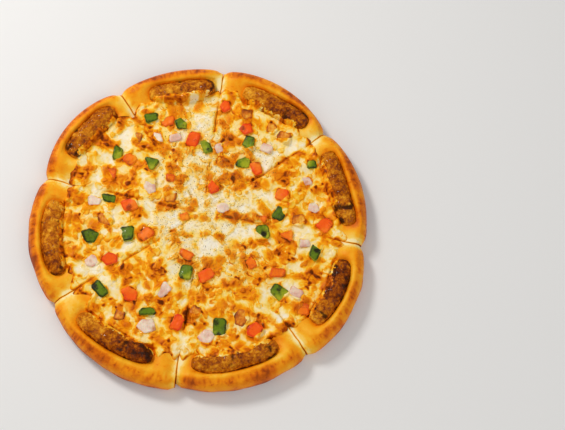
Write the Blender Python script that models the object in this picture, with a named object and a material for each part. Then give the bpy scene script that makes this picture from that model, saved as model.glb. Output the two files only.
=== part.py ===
"""A pan pizza cut into eight slices, each with a kebab baked into its crust.

The origin is on the underside, in the middle of the pizza's outline. +Z is up and +X is to the right of a
person who looks down on the pizza with +Y away from them.
"""

import math

import bmesh
import bpy
import numpy as np
from mathutils import Matrix, Vector, geometry

MM = 0.001
GAP = 0.35 * MM
CUT_WIDTH = 0.9 * MM

# The knife's cuts meet in one point, a little off the middle.
CUT_POINT = Vector((2.3, 10.8)) * MM

# For each slice, counter-clockwise from the right: the bearing of its first cut in degrees, then how far the
# crust reaches from the point where the cuts meet, in mm, at its first corner, its middle and its last corner,
# and last how wide the crust is beside the cuts.
SLICES = (
    (-12.0, 147.5, 146.0, 137.0, 29.0),
    (33.5, 135.5, 140.8, 137.0, 26.0),
    (82.0, 137.0, 137.2, 137.0, 26.0),
    (124.0, 137.5, 147.3, 144.7, 28.0),
    (167.5, 146.0, 156.0, 155.0, 33.0),
    (212.0, 155.5, 162.5, 159.5, 35.0),
    (261.0, 156.0, 160.8, 158.0, 33.0),
    (305.5, 159.0, 159.2, 146.5, 31.0),
)

# For each slice, the line of its kebab from the point where the cuts meet: the bearings of its two ends in
# degrees, then its distance in mm at the first end, the middle and the last end.
KEBABS = (
    (-5.5, 26.5, 133.0, 124.5, 126.5),
    (40.7, 72.0, 126.0, 120.3, 120.5),
    (84.8, 114.0, 119.5, 116.0, 120.5),
    (130.0, 156.5, 125.5, 127.5, 131.0),
    (175.5, 204.5, 131.0, 136.5, 139.0),
    (220.7, 251.5, 143.0, 140.0, 138.5),
    (265.7, 298.6, 137.0, 136.5, 136.5),
    (314.0, 340.5, 139.5, 138.0, 133.0),
)
KEBAB_HALF_WIDTH = 9.6 * MM
KEBAB_HALF_HEIGHT = 9.0 * MM
KEBAB_AXIS_HEIGHT = 15.6 * MM
KEBAB_END_POWER = 3.6
KEBAB_RINGS = 10
KEBAB_SIDES = 10

# The dough: a rolled crust that falls slowly inwards, then a lip down to the bed under the cheese.
BED = 9.0 * MM
CREST = 20.0 * MM
WIDEST = 8.0 * MM
FOOT_INSET = 2.6 * MM
ROLL = 9.0 * MM
INNER_CRUST = 16.2 * MM
LIP_AT_MIDDLE = 26.0 * MM
LIP_RUN = 5.0 * MM
PRESS_AT_CUT = 0.2
PRESS_REACH = 9.0 * MM
CORNER_ROUNDING = 2.2 * MM
CORNER_REACH = 4.0 * MM
TIP = 2.5 * MM
COLUMNS = (0.0, 0.035, 0.1, 0.2, 0.32, 0.44, 0.56, 0.68, 0.8, 0.9, 0.965, 1.0)

# The melted cheese.
CHEESE_TOP = 14.6 * MM
CHEESE_SPACING = 8.2 * MM
CHEESE_EDGE_LAP = 0.6 * MM
CHEESE_EDGE_RISE = 2.2 * MM
CHEESE_EDGE_REACH = 9.0 * MM

# Chunks of topping in mm: x, y, length, width, the turn of the length in degrees, and how many corners it has.
GREEN_PEPPERS = (
    (-45.5, 99.5, 13.5, 8.5, 12, 4),
    (-18, 94, 11.5, 9.5, -25, 5),
    (5.5, 72.5, 12.5, 8, 108, 4),
    (44, 76.5, 12, 10.5, 80, 5),
    (38, 57.5, 12.5, 10, -8, 4),
    (-75, 66, 13.5, 8, 82, 4),
    (-44.5, 57, 12.5, 11, -40, 3),
    (-81, 23.5, 14.5, 7.5, -10, 4),
    (71.5, 10, 14, 11, 62, 4),
    (56, -8.5, 13, 12, -82, 4),
    (-98, -11, 16, 13, -20, 5),
    (-65, -9, 13.5, 12.5, 4, 4),
    (103, -26.5, 15, 10, 66, 4),
    (-13, -45, 14, 10.5, 74, 4),
    (-88, -59.5, 15, 9.5, -52, 4),
    (70, -63, 15, 12, -38, 4),
    (-47, -79.5, 17, 6.5, 3, 4),
    (17, -94, 15.5, 11, 86, 4),
)
RED_PEPPERS = (
    (22.8, 110.8, 10.8, 9.8, 80, 5),
    (-7, 79.5, 13.5, 11, 70, 4),
    (42, 89, 12.5, 10, 8, 5),
    (50.5, 52.5, 12.5, 9, -66, 4),
    (12.4, 34.5, 13.5, 10.8, 78, 5),
    (74, 27, 12, 11, -6, 4),
    (-63, 17.5, 14, 10, 14, 4),
    (111.5, -0.5, 13.5, 12.5, -42, 4),
    (-81, -31.5, 14, 12, -6, 5),
    (5, -48, 14.5, 11, 32, 4),
    (-62.5, -64, 14.5, 12.5, -12, 5),
    (-20, -90, 14.5, 9.5, 66, 4),
    (47.5, -97, 14, 13, 40, 5),
)
ONIONS = (
    (-96, -33.5, 13.5, 10.5, 12, 6),
    (-34, -60, 15, 11, 36, 4),
    (-47, -92.5, 16.5, 14, 8, 5),
    (5, -102, 14, 13, 20, 6),
    (20.5, 15, 12, 9, 8, 6),
)
# Smaller and half sunk chunks, which hold fast in the cheese.
SUNK_CHUNKS = (
    (102, 55.5, 9.5, 7.5, 10, 4),
    (-30, 97, 13, 9.5, 12, 4),
    (-27, 43, 8, 7, 0, 4),
    (-64, 60.5, 12, 10, -34, 4),
    (-79, 47, 12, 7.5, 100, 3),
    (-14, 7, 8.5, 6.5, 12, 4),
    (-48, -10, 13, 11, 38, 4),
    (57, 4.5, 12, 6.5, -24, 3),
    (78, -11.5, 12, 9.5, 0, 3),
    (-12, -28, 13, 9.5, -26, 4),
    (90.3, -78.3, 11.5, 11, -8, 4),
    (46, -36.5, 11.5, 9, -60, 4),
    (68, -45, 14.5, 9, -4, 4),
    (-38.5, 81.5, 10.5, 7.5, -56, 5),
    (-23, 80.5, 10.5, 7, 10, 4),
    (16.5, 71, 8.5, 7, -80, 4),
    (60, 71, 10.5, 8.5, -20, 4),
    (-45, 35, 14.5, 10.5, 80, 5),
    (-97, 22, 15, 9.5, -14, 5),
    (102.5, 14.5, 11, 9, -50, 5),
    (93, -18.5, 11.5, 6.5, -5, 4),
    (85, -63.5, 12, 9.5, -28, 4),
    (96, 39.5, 9.5, 8, 20, 4),
    (36.5, -85.5, 15, 13, 70, 6),
    (-85, 4.5, 14.5, 12, -30, 5),
    (-71, -81, 12.5, 9.5, 78, 4),
    (88, 3, 12.5, 11.5, 30, 5),
    (42, 103, 11.5, 10, 0, 5),
    (66, 90, 11.5, 10.5, 20, 5),
    (76.5, 82, 11, 9.5, -32, 4),
    (-26.5, 25.5, 13, 10.5, -16, 5),
    (-4.5, -79.5, 12, 11.5, 66, 5),
    (-57, 81, 9.5, 7.5, 80, 4),
)
PEPPER_THICKNESS = 5.0 * MM
PEPPER_STANDS_PROUD = 2.2 * MM
ONION_THICKNESS = 4.4 * MM
ONION_STANDS_PROUD = 1.5 * MM
SUNK_THICKNESS = 3.6 * MM
SUNK_STANDS_PROUD = 1.3 * MM
CORNER_CHAMFER = 0.14
TOP_BEVEL = 0.7 * MM
CHUNK_TILT = 7.0
CUTTER_HEADROOM = 4.0 * MM

NOISE_CELLS = 256

# Base colour, roughness.
LOOKS = {
    "dough": ((0.86, 0.5, 0.12, 1), 0.5),
    "cheese": ((0.95, 0.78, 0.4, 1), 0.35),
    "kebab": ((0.3, 0.14, 0.04, 1), 0.6),
    "green_pepper": ((0.09, 0.25, 0.03, 1), 0.3),
    "red_pepper": ((0.86, 0.13, 0.02, 1), 0.35),
    "onion": ((0.85, 0.68, 0.66, 1), 0.3),
}


def clear_scene():
    for obj in list(bpy.data.objects):
        bpy.data.objects.remove(obj)


def smooth_step(x):
    x = np.clip(x, 0.0, 1.0)
    return x * x * (3 - 2 * x)


def ripple(x, y, size, seed):
    """Smooth seeded noise of about -1 to 1, in bumps about as wide as size."""
    angles = np.random.default_rng(seed).random((NOISE_CELLS, NOISE_CELLS)) * math.tau
    u = np.asarray(x, float) / size + NOISE_CELLS / 2
    v = np.asarray(y, float) / size + NOISE_CELLS / 2
    i, j = np.floor(u).astype(int), np.floor(v).astype(int)
    total = 0.0
    for di in (0, 1):
        for dj in (0, 1):
            angle = angles[(i + di) % NOISE_CELLS, (j + dj) % NOISE_CELLS]
            du, dv = u - i - di, v - j - dj
            fade_u, fade_v = 1 - smooth_step(abs(du)), 1 - smooth_step(abs(dv))
            total = total + fade_u * fade_v * (np.cos(angle) * du + np.sin(angle) * dv)
    return 1.6 * total


class Slice:
    """One slice's plan: a wedge between two cuts, with its point moved in by half the knife's width."""

    def __init__(self, index):
        first, *reach, crust_width = SLICES[index]
        last = SLICES[(index + 1) % len(SLICES)][0]
        self.number = index + 1
        self.first = math.radians(first)
        self.span = math.radians((last - first) % 360)
        self.reach = [r * MM for r in reach]
        self.crust_width = crust_width * MM
        middle = self.first + self.span / 2
        set_back = CUT_WIDTH / 2 / math.sin(self.span / 2)
        self.point = CUT_POINT + Vector((math.cos(middle), math.sin(middle))) * set_back

    def crust_reach(self, v):
        """Distance from the slice's point to its crust's edge, at a share v of the way between its cuts."""
        start, middle, end = self.reach
        curve = start * (1 - v) * (1 - 2 * v) + 4 * middle * v * (1 - v) + end * v * (2 * v - 1)
        to_cut = curve * np.sin(np.minimum(v, 1 - v) * self.span)
        return curve - CORNER_ROUNDING * np.exp(-((to_cut / CORNER_REACH) ** 2))

    def to_cut(self, reach, v):
        return reach * np.sin(np.minimum(v, 1 - v) * self.span)

    def place(self, reach, v, z):
        bearing = self.first + v * self.span
        return (self.point.x + reach * math.cos(bearing), self.point.y + reach * math.sin(bearing), z)

    def lip(self, v):
        """How far in from the edge the crust ends: less in the middle, where the kebab lies against the cheese."""
        to_cut = self.to_cut(self.crust_reach(v) - LIP_AT_MIDDLE, v)
        share = smooth_step((to_cut - 12 * MM) / (10 * MM))
        return self.crust_width + (LIP_AT_MIDDLE - self.crust_width) * share


def press(to_cut):
    """The knife presses the dough down beside each cut."""
    return 1 - PRESS_AT_CUT * np.exp(-((to_cut / PRESS_REACH) ** 2))


def crust_top(inset, lip):
    """Height of the rolled crust at a distance in from the edge, before the knife presses it."""
    rise = WIDEST + (CREST - WIDEST) * math.sqrt(1 - (1 - min(inset / ROLL, 1)) ** 2)
    fall = (CREST - INNER_CRUST) * smooth_step((inset - ROLL) / (lip - ROLL))
    return rise - fall


def cheese_height(x, y):
    """Height of the melted cheese: slow swells, and lumps where it has bubbled."""
    swell = 0.9 * MM * ripple(x, y, 34 * MM, 3)
    lumps = 1.1 * MM * ripple(x, y, 15 * MM, 5)
    return CHEESE_TOP + swell + lumps


def add_object(name, mesh_name, points, faces, look, recalculate=True):
    mesh = bpy.data.meshes.new(mesh_name)
    mesh.from_pydata([tuple(p) for p in points], [], faces)
    if recalculate:
        shape = bmesh.new()
        shape.from_mesh(mesh)
        bmesh.ops.recalc_face_normals(shape, faces=shape.faces)
        shape.to_mesh(mesh)
        shape.free()
    obj = bpy.data.objects.new(name, mesh)
    bpy.context.scene.collection.objects.link(obj)
    mesh.materials.append(material(look))
    return obj


def material(look):
    name = "pizza_" + look
    if name in bpy.data.materials:
        return bpy.data.materials[name]
    made = bpy.data.materials.new(name)
    made.use_nodes = True
    shader = made.node_tree.nodes["Principled BSDF"]
    colour, roughness = LOOKS[look]
    shader.inputs["Base Color"].default_value = colour
    shader.inputs["Roughness"].default_value = roughness
    return made


def make_dough(piece):
    """The slice's dough: flat underside, rounded crust, and a flat bed for the cheese."""
    columns = len(COLUMNS)
    points = []

    def ring(insets, heights):
        for v, inset, z in zip(COLUMNS, insets, heights):
            points.append(piece.place(piece.crust_reach(v) - inset, v, z))

    def even_ring(inset, height):
        pressed = [press(piece.to_cut(piece.crust_reach(v) - inset, v)) for v in COLUMNS]
        ring([inset] * columns, [height(v) * p for v, p in zip(COLUMNS, pressed)])

    lips = [float(piece.lip(v)) for v in COLUMNS]
    ring([FOOT_INSET] * columns, [0.0] * columns)
    even_ring(0.5 * MM, lambda v: WIDEST / 2)
    even_ring(0.0, lambda v: WIDEST)
    for inset in (1.3 * MM, 4.0 * MM, ROLL, 17 * MM):
        even_ring(inset, lambda v, inset=inset: float(crust_top(inset, piece.lip(v))))
    pressed = [press(piece.to_cut(piece.crust_reach(v) - lip, v)) for v, lip in zip(COLUMNS, lips)]
    ring(lips, [float(crust_top(lip, lip)) * float(p) for lip, p in zip(lips, pressed)])
    ring([lip + LIP_RUN for lip in lips], [BED] * columns)
    rings = len(points) // columns
    tip = len(points)
    for z in (BED, 0.0):
        points.extend(piece.place(TIP, v, z) for v in (0.0, 1.0))
    faces = []
    for r in range(rings - 1):
        for c in range(columns - 1):
            a, b = r * columns + c, (r + 1) * columns + c
            faces.append((a, a + 1, b + 1, b))
    last = (rings - 1) * columns
    faces.append([*range(last, last + columns), tip + 1, tip])
    faces.append([*range(columns), tip + 3, tip + 2])
    faces.append((tip, tip + 1, tip + 3, tip + 2))
    faces.append([r * columns for r in range(rings)] + [tip, tip + 2])
    faces.append([r * columns + columns - 1 for r in range(rings)] + [tip + 1, tip + 3])
    name = f"slice_{piece.number}_dough"
    return add_object(name, name, points, faces, "dough")


def kebab_line(index, t):
    """A point on the kebab's axis at a share t of its length."""
    first, last, start, middle, end = KEBABS[index]
    bearing = math.radians(first + (last - first) * t)
    reach = start * (1 - t) * (1 - 2 * t) + 4 * middle * t * (1 - t) + end * t * (2 * t - 1)
    flat = CUT_POINT + Vector((math.cos(bearing), math.sin(bearing))) * reach * MM
    return Vector((flat.x, flat.y, KEBAB_AXIS_HEIGHT))


def make_kebab(index, name, grow=0.0):
    """A hand-shaped kebab: a bent roll with blunt ends. grow makes it larger all round, to cut its bed."""
    points = []
    ends = (kebab_line(index, 0.0), kebab_line(index, 1.0))
    length = (ends[1] - ends[0]).length
    for ring in range(KEBAB_RINGS):
        along = 0.5 - 0.5 * math.cos(math.pi * (ring + 0.55) / (KEBAB_RINGS + 0.1))
        stretched = 0.5 + (along - 0.5) * (1 + 2 * grow / length)
        centre = kebab_line(index, stretched)
        ahead = (kebab_line(index, stretched + 0.01) - kebab_line(index, stretched - 0.01)).normalized()
        across = ahead.cross(Vector((0, 0, 1))).normalized()
        blunt = (1 - abs(2 * along - 1) ** KEBAB_END_POWER) ** (1 / KEBAB_END_POWER)
        lump = 1 + 0.06 * float(ripple(along * 70 * MM, index * 40 * MM, 17 * MM, 21))
        half_width = KEBAB_HALF_WIDTH * blunt * lump + grow
        half_height = KEBAB_HALF_HEIGHT * blunt * lump + grow
        for side in range(KEBAB_SIDES):
            turn = math.tau * (side + 0.5) / KEBAB_SIDES
            offset = across * math.cos(turn) * half_width + Vector((0, 0, math.sin(turn) * half_height))
            points.append(centre + offset)
    ends = len(points)
    for t in (-grow / length, 1 + grow / length):
        points.append(kebab_line(index, t))
    faces = []
    for ring in range(KEBAB_RINGS - 1):
        for side in range(KEBAB_SIDES):
            a, b = ring * KEBAB_SIDES + side, ring * KEBAB_SIDES + (side + 1) % KEBAB_SIDES
            faces.append((a, b, b + KEBAB_SIDES, a + KEBAB_SIDES))
    for side in range(KEBAB_SIDES):
        beside = (side + 1) % KEBAB_SIDES
        faces.append((ends, beside, side))
        faces.append((ends + 1, ends - KEBAB_SIDES + side, ends - KEBAB_SIDES + beside))
    return add_object(name, name, points, faces, "kebab")


def make_cheese(piece):
    """The slice's cheese: a lumpy sheet that fills the bed and ends on the crust's sloping lip."""
    upper, lower = [], []
    floor = BED + GAP
    sides = 12
    for v in COLUMNS:
        reach, lip = piece.crust_reach(v), float(piece.lip(v))
        x, y, _ = piece.place(reach - lip - CHEESE_EDGE_LAP, v, 0)
        pressed = float(press(piece.to_cut(reach - lip, v)))
        edge = max(float(crust_top(lip, lip)) * pressed + 0.4 * MM, floor + 3 * MM)
        upper.append((x, y, edge))
        lower.append(piece.place(reach - lip - LIP_RUN - CHEESE_EDGE_LAP, v, floor))
    run = piece.crust_reach(1.0) - float(piece.lip(1.0)) - CHEESE_EDGE_LAP
    for v, order in ((1.0, range(1, sides)), (0.0, range(sides - 1, 0, -1))):
        reach = piece.crust_reach(v) - float(piece.lip(v)) - CHEESE_EDGE_LAP
        for k in order:
            along = reach + (TIP - reach) * k / (sides - 1)
            x, y, _ = piece.place(along, v, 0)
            upper.append((x, y, None))
            lower.append(piece.place(min(along, reach - LIP_RUN), v, floor))
    inside = []
    rows = int(run / CHEESE_SPACING)
    for row in range(1, rows + 1):
        for k in range(1, 40):
            v = (k + 0.5 * (row % 2)) * CHEESE_SPACING / (row * CHEESE_SPACING * piece.span)
            reach = row * run / (rows + 1)
            if v >= 1:
                break
            edge = piece.crust_reach(v) - float(piece.lip(v))
            reach *= (edge - CHEESE_EDGE_LAP) / run
            if piece.to_cut(reach, v) > 0.55 * CHEESE_SPACING:
                inside.append(piece.place(reach, v, None))
    around = len(upper)
    plan = [Vector(p[:2]) for p in upper + inside]
    outline = [(k, (k + 1) % around) for k in range(around)]
    corners, _, faces, *_ = geometry.delaunay_2d_cdt(plan, outline, [], 1, 1e-7)
    if len(corners) != len(plan):
        raise ValueError("the cheese's plan crosses itself")
    points = []
    for k, corner in enumerate(corners):
        z = upper[k][2] if k < around else None
        if z is None:
            z = surface_of_cheese(piece, corner.x, corner.y)
        points.append((corner.x, corner.y, z))
    faces = [list(face) for face in faces]
    first = len(points)
    points.extend(lower)
    for a, b in outline:
        faces.append((a, b, first + b, first + a))
    faces.append([first + k for k in range(around)])
    name = f"slice_{piece.number}_cheese"
    made = add_object(name, name, points, faces, "cheese")
    weld(made)
    return made


def weld(obj):
    shape = bmesh.new()
    shape.from_mesh(obj.data)
    bmesh.ops.remove_doubles(shape, verts=shape.verts, dist=0.00002)
    bmesh.ops.recalc_face_normals(shape, faces=shape.faces)
    shape.to_mesh(obj.data)
    shape.free()


def surface_of_cheese(piece, x, y):
    """Height of the cheese on one slice: it rises where it meets the crust."""
    away = Vector((x, y)) - piece.point
    v = min(max(((math.atan2(away.y, away.x) - piece.first) % math.tau) / piece.span, 0.0), 1.0)
    if v == 1.0 and ((math.atan2(away.y, away.x) - piece.first) % math.tau) > math.pi:
        v = 0.0
    reach, lip = piece.crust_reach(v), float(piece.lip(v))
    to_edge = max(reach - lip - away.length, 0.0)
    rise = CHEESE_EDGE_RISE * math.exp(-((to_edge / CHEESE_EDGE_REACH) ** 2))
    return float(cheese_height(x, y)) + rise


def slice_at(pieces, x, y):
    """The slice that a point lies on."""
    away = Vector((x, y)) - CUT_POINT
    bearing = math.atan2(away.y, away.x)
    for piece in pieces:
        if (bearing - piece.first) % math.tau < piece.span:
            return piece
    raise ValueError("no slice holds this point")


def make_chunk(name, row, piece, thickness, proud, look, seed, grow=0.0):
    """A diced chunk: a prism with uneven, cut-off corners and a bevelled top, half in the cheese."""
    x, y, length, width, turn, corners = row
    draw = np.random.default_rng(seed)
    tilt_x, tilt_y = draw.uniform(-CHUNK_TILT, CHUNK_TILT, 2)
    starts = [math.tau * (k + 0.5) / corners + draw.uniform(-0.24, 0.24) for k in range(corners)]
    reach = [draw.uniform(0.86, 1.1) for _ in range(corners)]
    widen = 1 / math.cos(math.pi / corners) if corners < 6 else 1.06
    outline = []
    for k in range(corners):
        here = Vector((math.cos(starts[k]), math.sin(starts[k]))) * reach[k] * widen
        for other in (k - 1, (k + 1) % corners):
            there = Vector((math.cos(starts[other]), math.sin(starts[other]))) * reach[other] * widen
            outline.append(here.lerp(there, CORNER_CHAMFER / (1 + (corners > 4))))
    widest = [max(abs(p[axis]) for p in outline) for axis in (0, 1)]
    half = Vector((length * MM / 2 / widest[0], width * MM / 2 / widest[1]))
    bevel = 0.0 if grow else TOP_BEVEL
    upper = proud + (CUTTER_HEADROOM if grow else 0.0)
    points = []
    for z, inset in ((proud - thickness - grow, 0.0), (upper - bevel, 0.0), (upper, bevel)):
        for p in outline:
            flat = Vector((p.x * half.x, p.y * half.y, z))
            flat.xy += flat.xy.normalized() * (grow * 1.15 - inset)
            points.append(flat)
    rings = 3
    if grow:
        del points[-len(outline):]
        rings = 2
    around = len(outline)
    faces = [list(range(around))[::-1], list(range((rings - 1) * around, rings * around))]
    for r in range(rings - 1):
        for k in range(around):
            a, b = r * around + k, r * around + (k + 1) % around
            faces.append((a, b, b + around, a + around))
    lie = Matrix.Rotation(math.radians(tilt_x), 4, "X") @ Matrix.Rotation(math.radians(tilt_y), 4, "Y")
    place = Matrix.Translation((x * MM, y * MM, surface_of_cheese(piece, x * MM, y * MM)))
    whole = place @ lie @ Matrix.Rotation(math.radians(turn), 4, "Z")
    return add_object(name, name, [whole @ p for p in points], faces, look)


def boolean(target, others, operation):
    """Joins or cuts target with the others in one Boolean, and removes them."""
    if not others:
        return
    group = bpy.data.collections.new("with_" + target.name)
    for other in others:
        group.objects.link(other)
    modifier = target.modifiers.new("boolean", "BOOLEAN")
    modifier.operation = operation
    modifier.operand_type = "COLLECTION"
    modifier.collection = group
    modifier.solver = "EXACT"
    graph = bpy.context.evaluated_depsgraph_get()
    made = bpy.data.meshes.new_from_object(target.evaluated_get(graph))
    target.modifiers.remove(modifier)
    target.data = made
    for other in others:
        bpy.data.objects.remove(other)
    bpy.data.collections.remove(group)


def main():
    clear_scene()
    pieces = [Slice(index) for index in range(len(SLICES))]
    held, sunk = {piece.number: [] for piece in pieces}, {piece.number: [] for piece in pieces}
    kinds = (
        ("green_pepper", GREEN_PEPPERS, PEPPER_THICKNESS, PEPPER_STANDS_PROUD),
        ("red_pepper", RED_PEPPERS, PEPPER_THICKNESS, PEPPER_STANDS_PROUD),
        ("onion", ONIONS, ONION_THICKNESS, ONION_STANDS_PROUD),
    )
    for offset, (kind, rows, thickness, proud) in enumerate(kinds):
        for k, row in enumerate(rows):
            piece = slice_at(pieces, row[0] * MM, row[1] * MM)
            seed = 100 * (offset + 1) + k
            make_chunk(f"{kind}_{k + 1:02d}", row, piece, thickness, proud, kind, seed)
            cutter = make_chunk("pocket", row, piece, thickness, proud, kind, seed, grow=GAP)
            held[piece.number].append(cutter)
    for k, row in enumerate(SUNK_CHUNKS):
        piece = slice_at(pieces, row[0] * MM, row[1] * MM)
        chunk = make_chunk("sunk", row, piece, SUNK_THICKNESS, SUNK_STANDS_PROUD, "cheese", 400 + k)
        sunk[piece.number].append(chunk)
    for index, piece in enumerate(pieces):
        dough = make_dough(piece)
        boolean(dough, [make_kebab(index, "kebab_bed", grow=1.2 * GAP)], "DIFFERENCE")
        cheese = make_cheese(piece)
        boolean(cheese, sunk[piece.number], "UNION")
        pockets = held[piece.number] + [make_kebab(index, "kebab_side", grow=1.2 * GAP)]
        boolean(cheese, pockets, "DIFFERENCE")
        make_kebab(index, f"slice_{piece.number}_kebab")


main()
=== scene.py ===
"""The looks of the pan pizza: baked dough, melted and browned cheese, kebabs, diced peppers and onion."""

import math

import bmesh
import bpy
import numpy as np
from mathutils import Matrix, Vector, geometry


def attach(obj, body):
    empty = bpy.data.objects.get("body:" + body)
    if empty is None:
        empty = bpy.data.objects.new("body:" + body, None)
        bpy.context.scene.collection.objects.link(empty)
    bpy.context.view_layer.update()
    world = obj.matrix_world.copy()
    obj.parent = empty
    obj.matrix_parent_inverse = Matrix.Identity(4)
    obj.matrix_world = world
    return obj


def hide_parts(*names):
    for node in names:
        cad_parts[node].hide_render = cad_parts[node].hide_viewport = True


MM = 0.001
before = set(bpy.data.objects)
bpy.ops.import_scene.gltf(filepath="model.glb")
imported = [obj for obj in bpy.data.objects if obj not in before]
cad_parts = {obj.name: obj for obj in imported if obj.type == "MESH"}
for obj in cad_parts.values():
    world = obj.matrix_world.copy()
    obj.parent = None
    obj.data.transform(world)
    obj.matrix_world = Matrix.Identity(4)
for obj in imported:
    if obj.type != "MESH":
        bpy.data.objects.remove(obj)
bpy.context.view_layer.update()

# The knife's gap, and the point where the cuts meet.
CUT_WIDTH = 0.9 * MM
CUT_POINT = Vector((2.3, 10.8)) * MM
# The slices, as in the part's own script. For each: the bearing of its first cut in degrees, and in mm its
# crust's reach at the first corner, the middle and the last corner, and its crust's width.
SLICES = (
    (-12.0, 147.5, 146.0, 137.0, 29.0),
    (33.5, 135.5, 140.8, 137.0, 26.0),
    (82.0, 137.0, 137.2, 137.0, 26.0),
    (124.0, 137.5, 147.3, 144.7, 28.0),
    (167.5, 146.0, 156.0, 155.0, 33.0),
    (212.0, 155.5, 162.5, 159.5, 35.0),
    (261.0, 156.0, 160.8, 158.0, 33.0),
    (305.5, 159.0, 159.2, 146.5, 31.0),
)
# For each kebab: the bearings of its two ends, and its line's reach at the first end, middle and last end.
KEBABS = (
    (-5.5, 26.5, 133.0, 124.5, 126.5),
    (40.7, 72.0, 126.0, 120.3, 120.5),
    (84.8, 114.0, 119.5, 116.0, 120.5),
    (130.0, 156.5, 125.5, 127.5, 131.0),
    (175.5, 204.5, 131.0, 136.5, 139.0),
    (220.7, 251.5, 143.0, 140.0, 138.5),
    (265.7, 298.6, 137.0, 136.5, 136.5),
    (314.0, 340.5, 139.5, 138.0, 133.0),
)
KEBAB_HALF_WIDTH = 9.6 * MM
KEBAB_HALF_HEIGHT = 9.0 * MM
KEBAB_AXIS_HEIGHT = 15.6 * MM
KEBAB_END_POWER = 3.6

# The dough, as in the part's own script: the height of its flat bed, and the height and width of the rolled
# crust round it. Near the cuts the crust is wider. A bank runs from its lip down to the bed.
BED = 9.0 * MM
CREST = 20.0 * MM
WIDEST = 8.0 * MM
FOOT_INSET = 2.6 * MM
ROLL = 9.0 * MM
INNER_CRUST = 16.2 * MM
LIP_AT_MIDDLE = 26.0 * MM
LIP_RUN = 5.0 * MM
LIP_NARROWS_FROM = 12 * MM
LIP_NARROWS_OVER = 10 * MM
# The crust is pressed down beside each cut, and its corners are rounded.
PRESS_AT_CUT = 0.2
PRESS_REACH = 9.0 * MM
CORNER_ROUNDING = 2.2 * MM
CORNER_REACH = 4.0 * MM
# Where the dough's point starts, and how far from it the cuts are always shut.
TIP = 2.5 * MM
HUB = 14.0 * MM
# Each kebab lies in a groove, and the crust swells up beside it. The lumps of risen dough fade at the edge.
GROOVE_DEPTH = 1.2 * MM
GROOVE_WIDTH = 0.8 * MM
SWELL_HEIGHT = 1.1 * MM
SWELL_AWAY = 3.2 * MM
SWELL_WIDTH = 2.2 * MM
KEBAB_BED = KEBAB_AXIS_HEIGHT - 3.0 * MM
KEBAB_BED_EDGE = 1.5 * MM
LUMPS_FADE = 6 * MM

# Where the crust browns: against the kebab, where a thin line is also painted darker as contact shade, on the
# ridges outside it, on its outer edge and on the roll's top. It stays pale in the fold beside the kebab and
# beside the cuts, but for a thin line of painted shade along the knife's gap.
BROWN_AND_SHADE_AT_KEBAB = 0.6 * MM
PALE_FOLD = 2.0 * MM
RIDGES_AWAY = 7 * MM
RIDGES_WIDTH = 3.2 * MM
OUTER_EDGE = 9 * MM
# In from the edge: where the brown top of the roll starts, is full, starts to fade and ends.
ROLL_TOP = (2 * MM, 6 * MM, 8 * MM, 12 * MM)
PALE_AT_CUT = 7 * MM
CREAM_AT_CUT = 3.2 * MM
KNIFE_GAP_SHADE = 0.5 * MM
# How brown the outer edge of each slice's crust has baked. The low values of the slices at the lower right
# also paint a highlight along their edge.
EDGE_BROWNING_AND_HIGHLIGHT = (0.12, 0.16, 0.2, 0.22, 0.28, 0.18, 0.08, 0.02)

# Where each kebab is charred: a share of its length, and how far the char reaches along it.
CHARRED = (
    ((0.2, 0.12), (0.08, 0.06)),
    ((0.06, 0.12), (0.3, 0.06)),
    ((0.04, 0.05), (0.5, 0.06)),
    ((0.9, 0.08), (0.62, 0.05)),
    ((0.93, 0.07), (0.72, 0.05), (0.3, 0.04)),
    ((0.95, 0.1), (0.66, 0.06)),
    ((0.88, 0.06), (0.45, 0.05)),
    ((0.88, 0.16), (0.6, 0.12), (0.15, 0.04)),
)
# How dark each kebab is grilled at its first end, its middle and its last end.
GRILLED = (
    (0.0, 0.3, 0.1),
    (0.7, 0.4, -0.4),
    (0.3, 0.0, -0.1),
    (0.2, 0.0, 0.2),
    (-0.4, 0.1, 0.5),
    (-0.4, 0.7, 1.2),
    (0.2, 0.1, 0.3),
    (-0.2, 1.0, 1.2),
)

# The melted cheese: its height, and how far in mm it runs past the crust's inner edge beside each cut, and
# over the inner side of each kebab.
CHEESE_TIP = 0.2 * MM
CHEESE_TOP = 14.6 * MM
CHEESE_EDGE_RISE = 2.2 * MM
CHEESE_EDGE_REACH = 9.0 * MM
RUNS_AT_CUTS = (14, 8, 6, 0, 5, 12, 7, 2)
RUN_WIDTH = 9.0 * MM
RUNS_OVER_KEBABS = (1.5, 1.5, 5.0, 2.0, 1.5, 1.5, 2.5, 1.5)
RUN_OVER_DOUGH = 2.5 * MM
CHEESE_MARGIN = 3.0 * MM
# Its lumps, from curds down to beads, with shreds that keep their shape. LUMP_SHARPNESS says how sharply one
# gives way to the next.
CURD = 8.5 * MM
BEAD = 4.0 * MM
SHRED = 5.4 * MM
LUMP_SHARPNESS = 5.5
LUMP_CREST = -0.04
LUMP_FALL = 0.4
# Near its outer edge the cheese has no white pools and no shreds, it is browner, and it thins out. Each pair
# says how far inside the edge they start and are full.
WHITE_STARTS = (1 * MM, 9 * MM)
SHREDS_START = (4 * MM, 7 * MM)
CUTS_CLOSE = 8 * MM
BROWN_EDGE = 6 * MM
HERB_STARTS = 3 * MM
EDGE_THICKNESS = 1.5 * MM
EDGE_ROUNDING = 1.3 * MM
EDGE_DROP = 7.0 * MM
# A cut leaves a narrow valley where it is open, in a wider dip, painted darker along it as shade.
VALLEY_DEPTH = 1.1 * MM
VALLEY_WIDTH = 0.8 * MM
DIP_DEPTH = 0.45 * MM
DIP_WIDTH = 1.8 * MM
CUT_SHADE_WIDTH = 1.4 * MM
CUTS_START = 3 * MM
# How far dough or cheese creeps back over its side of a cut, where the cut is shut and where it is open.
CREEP_SHUT = 0.47 * MM
CREEP_OPEN = 0.22 * MM
CREEP_WIDTH = 1.6 * MM
DOUGH_SHUT = 0.35
WAVER_WIDTH = 5 * MM

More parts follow.
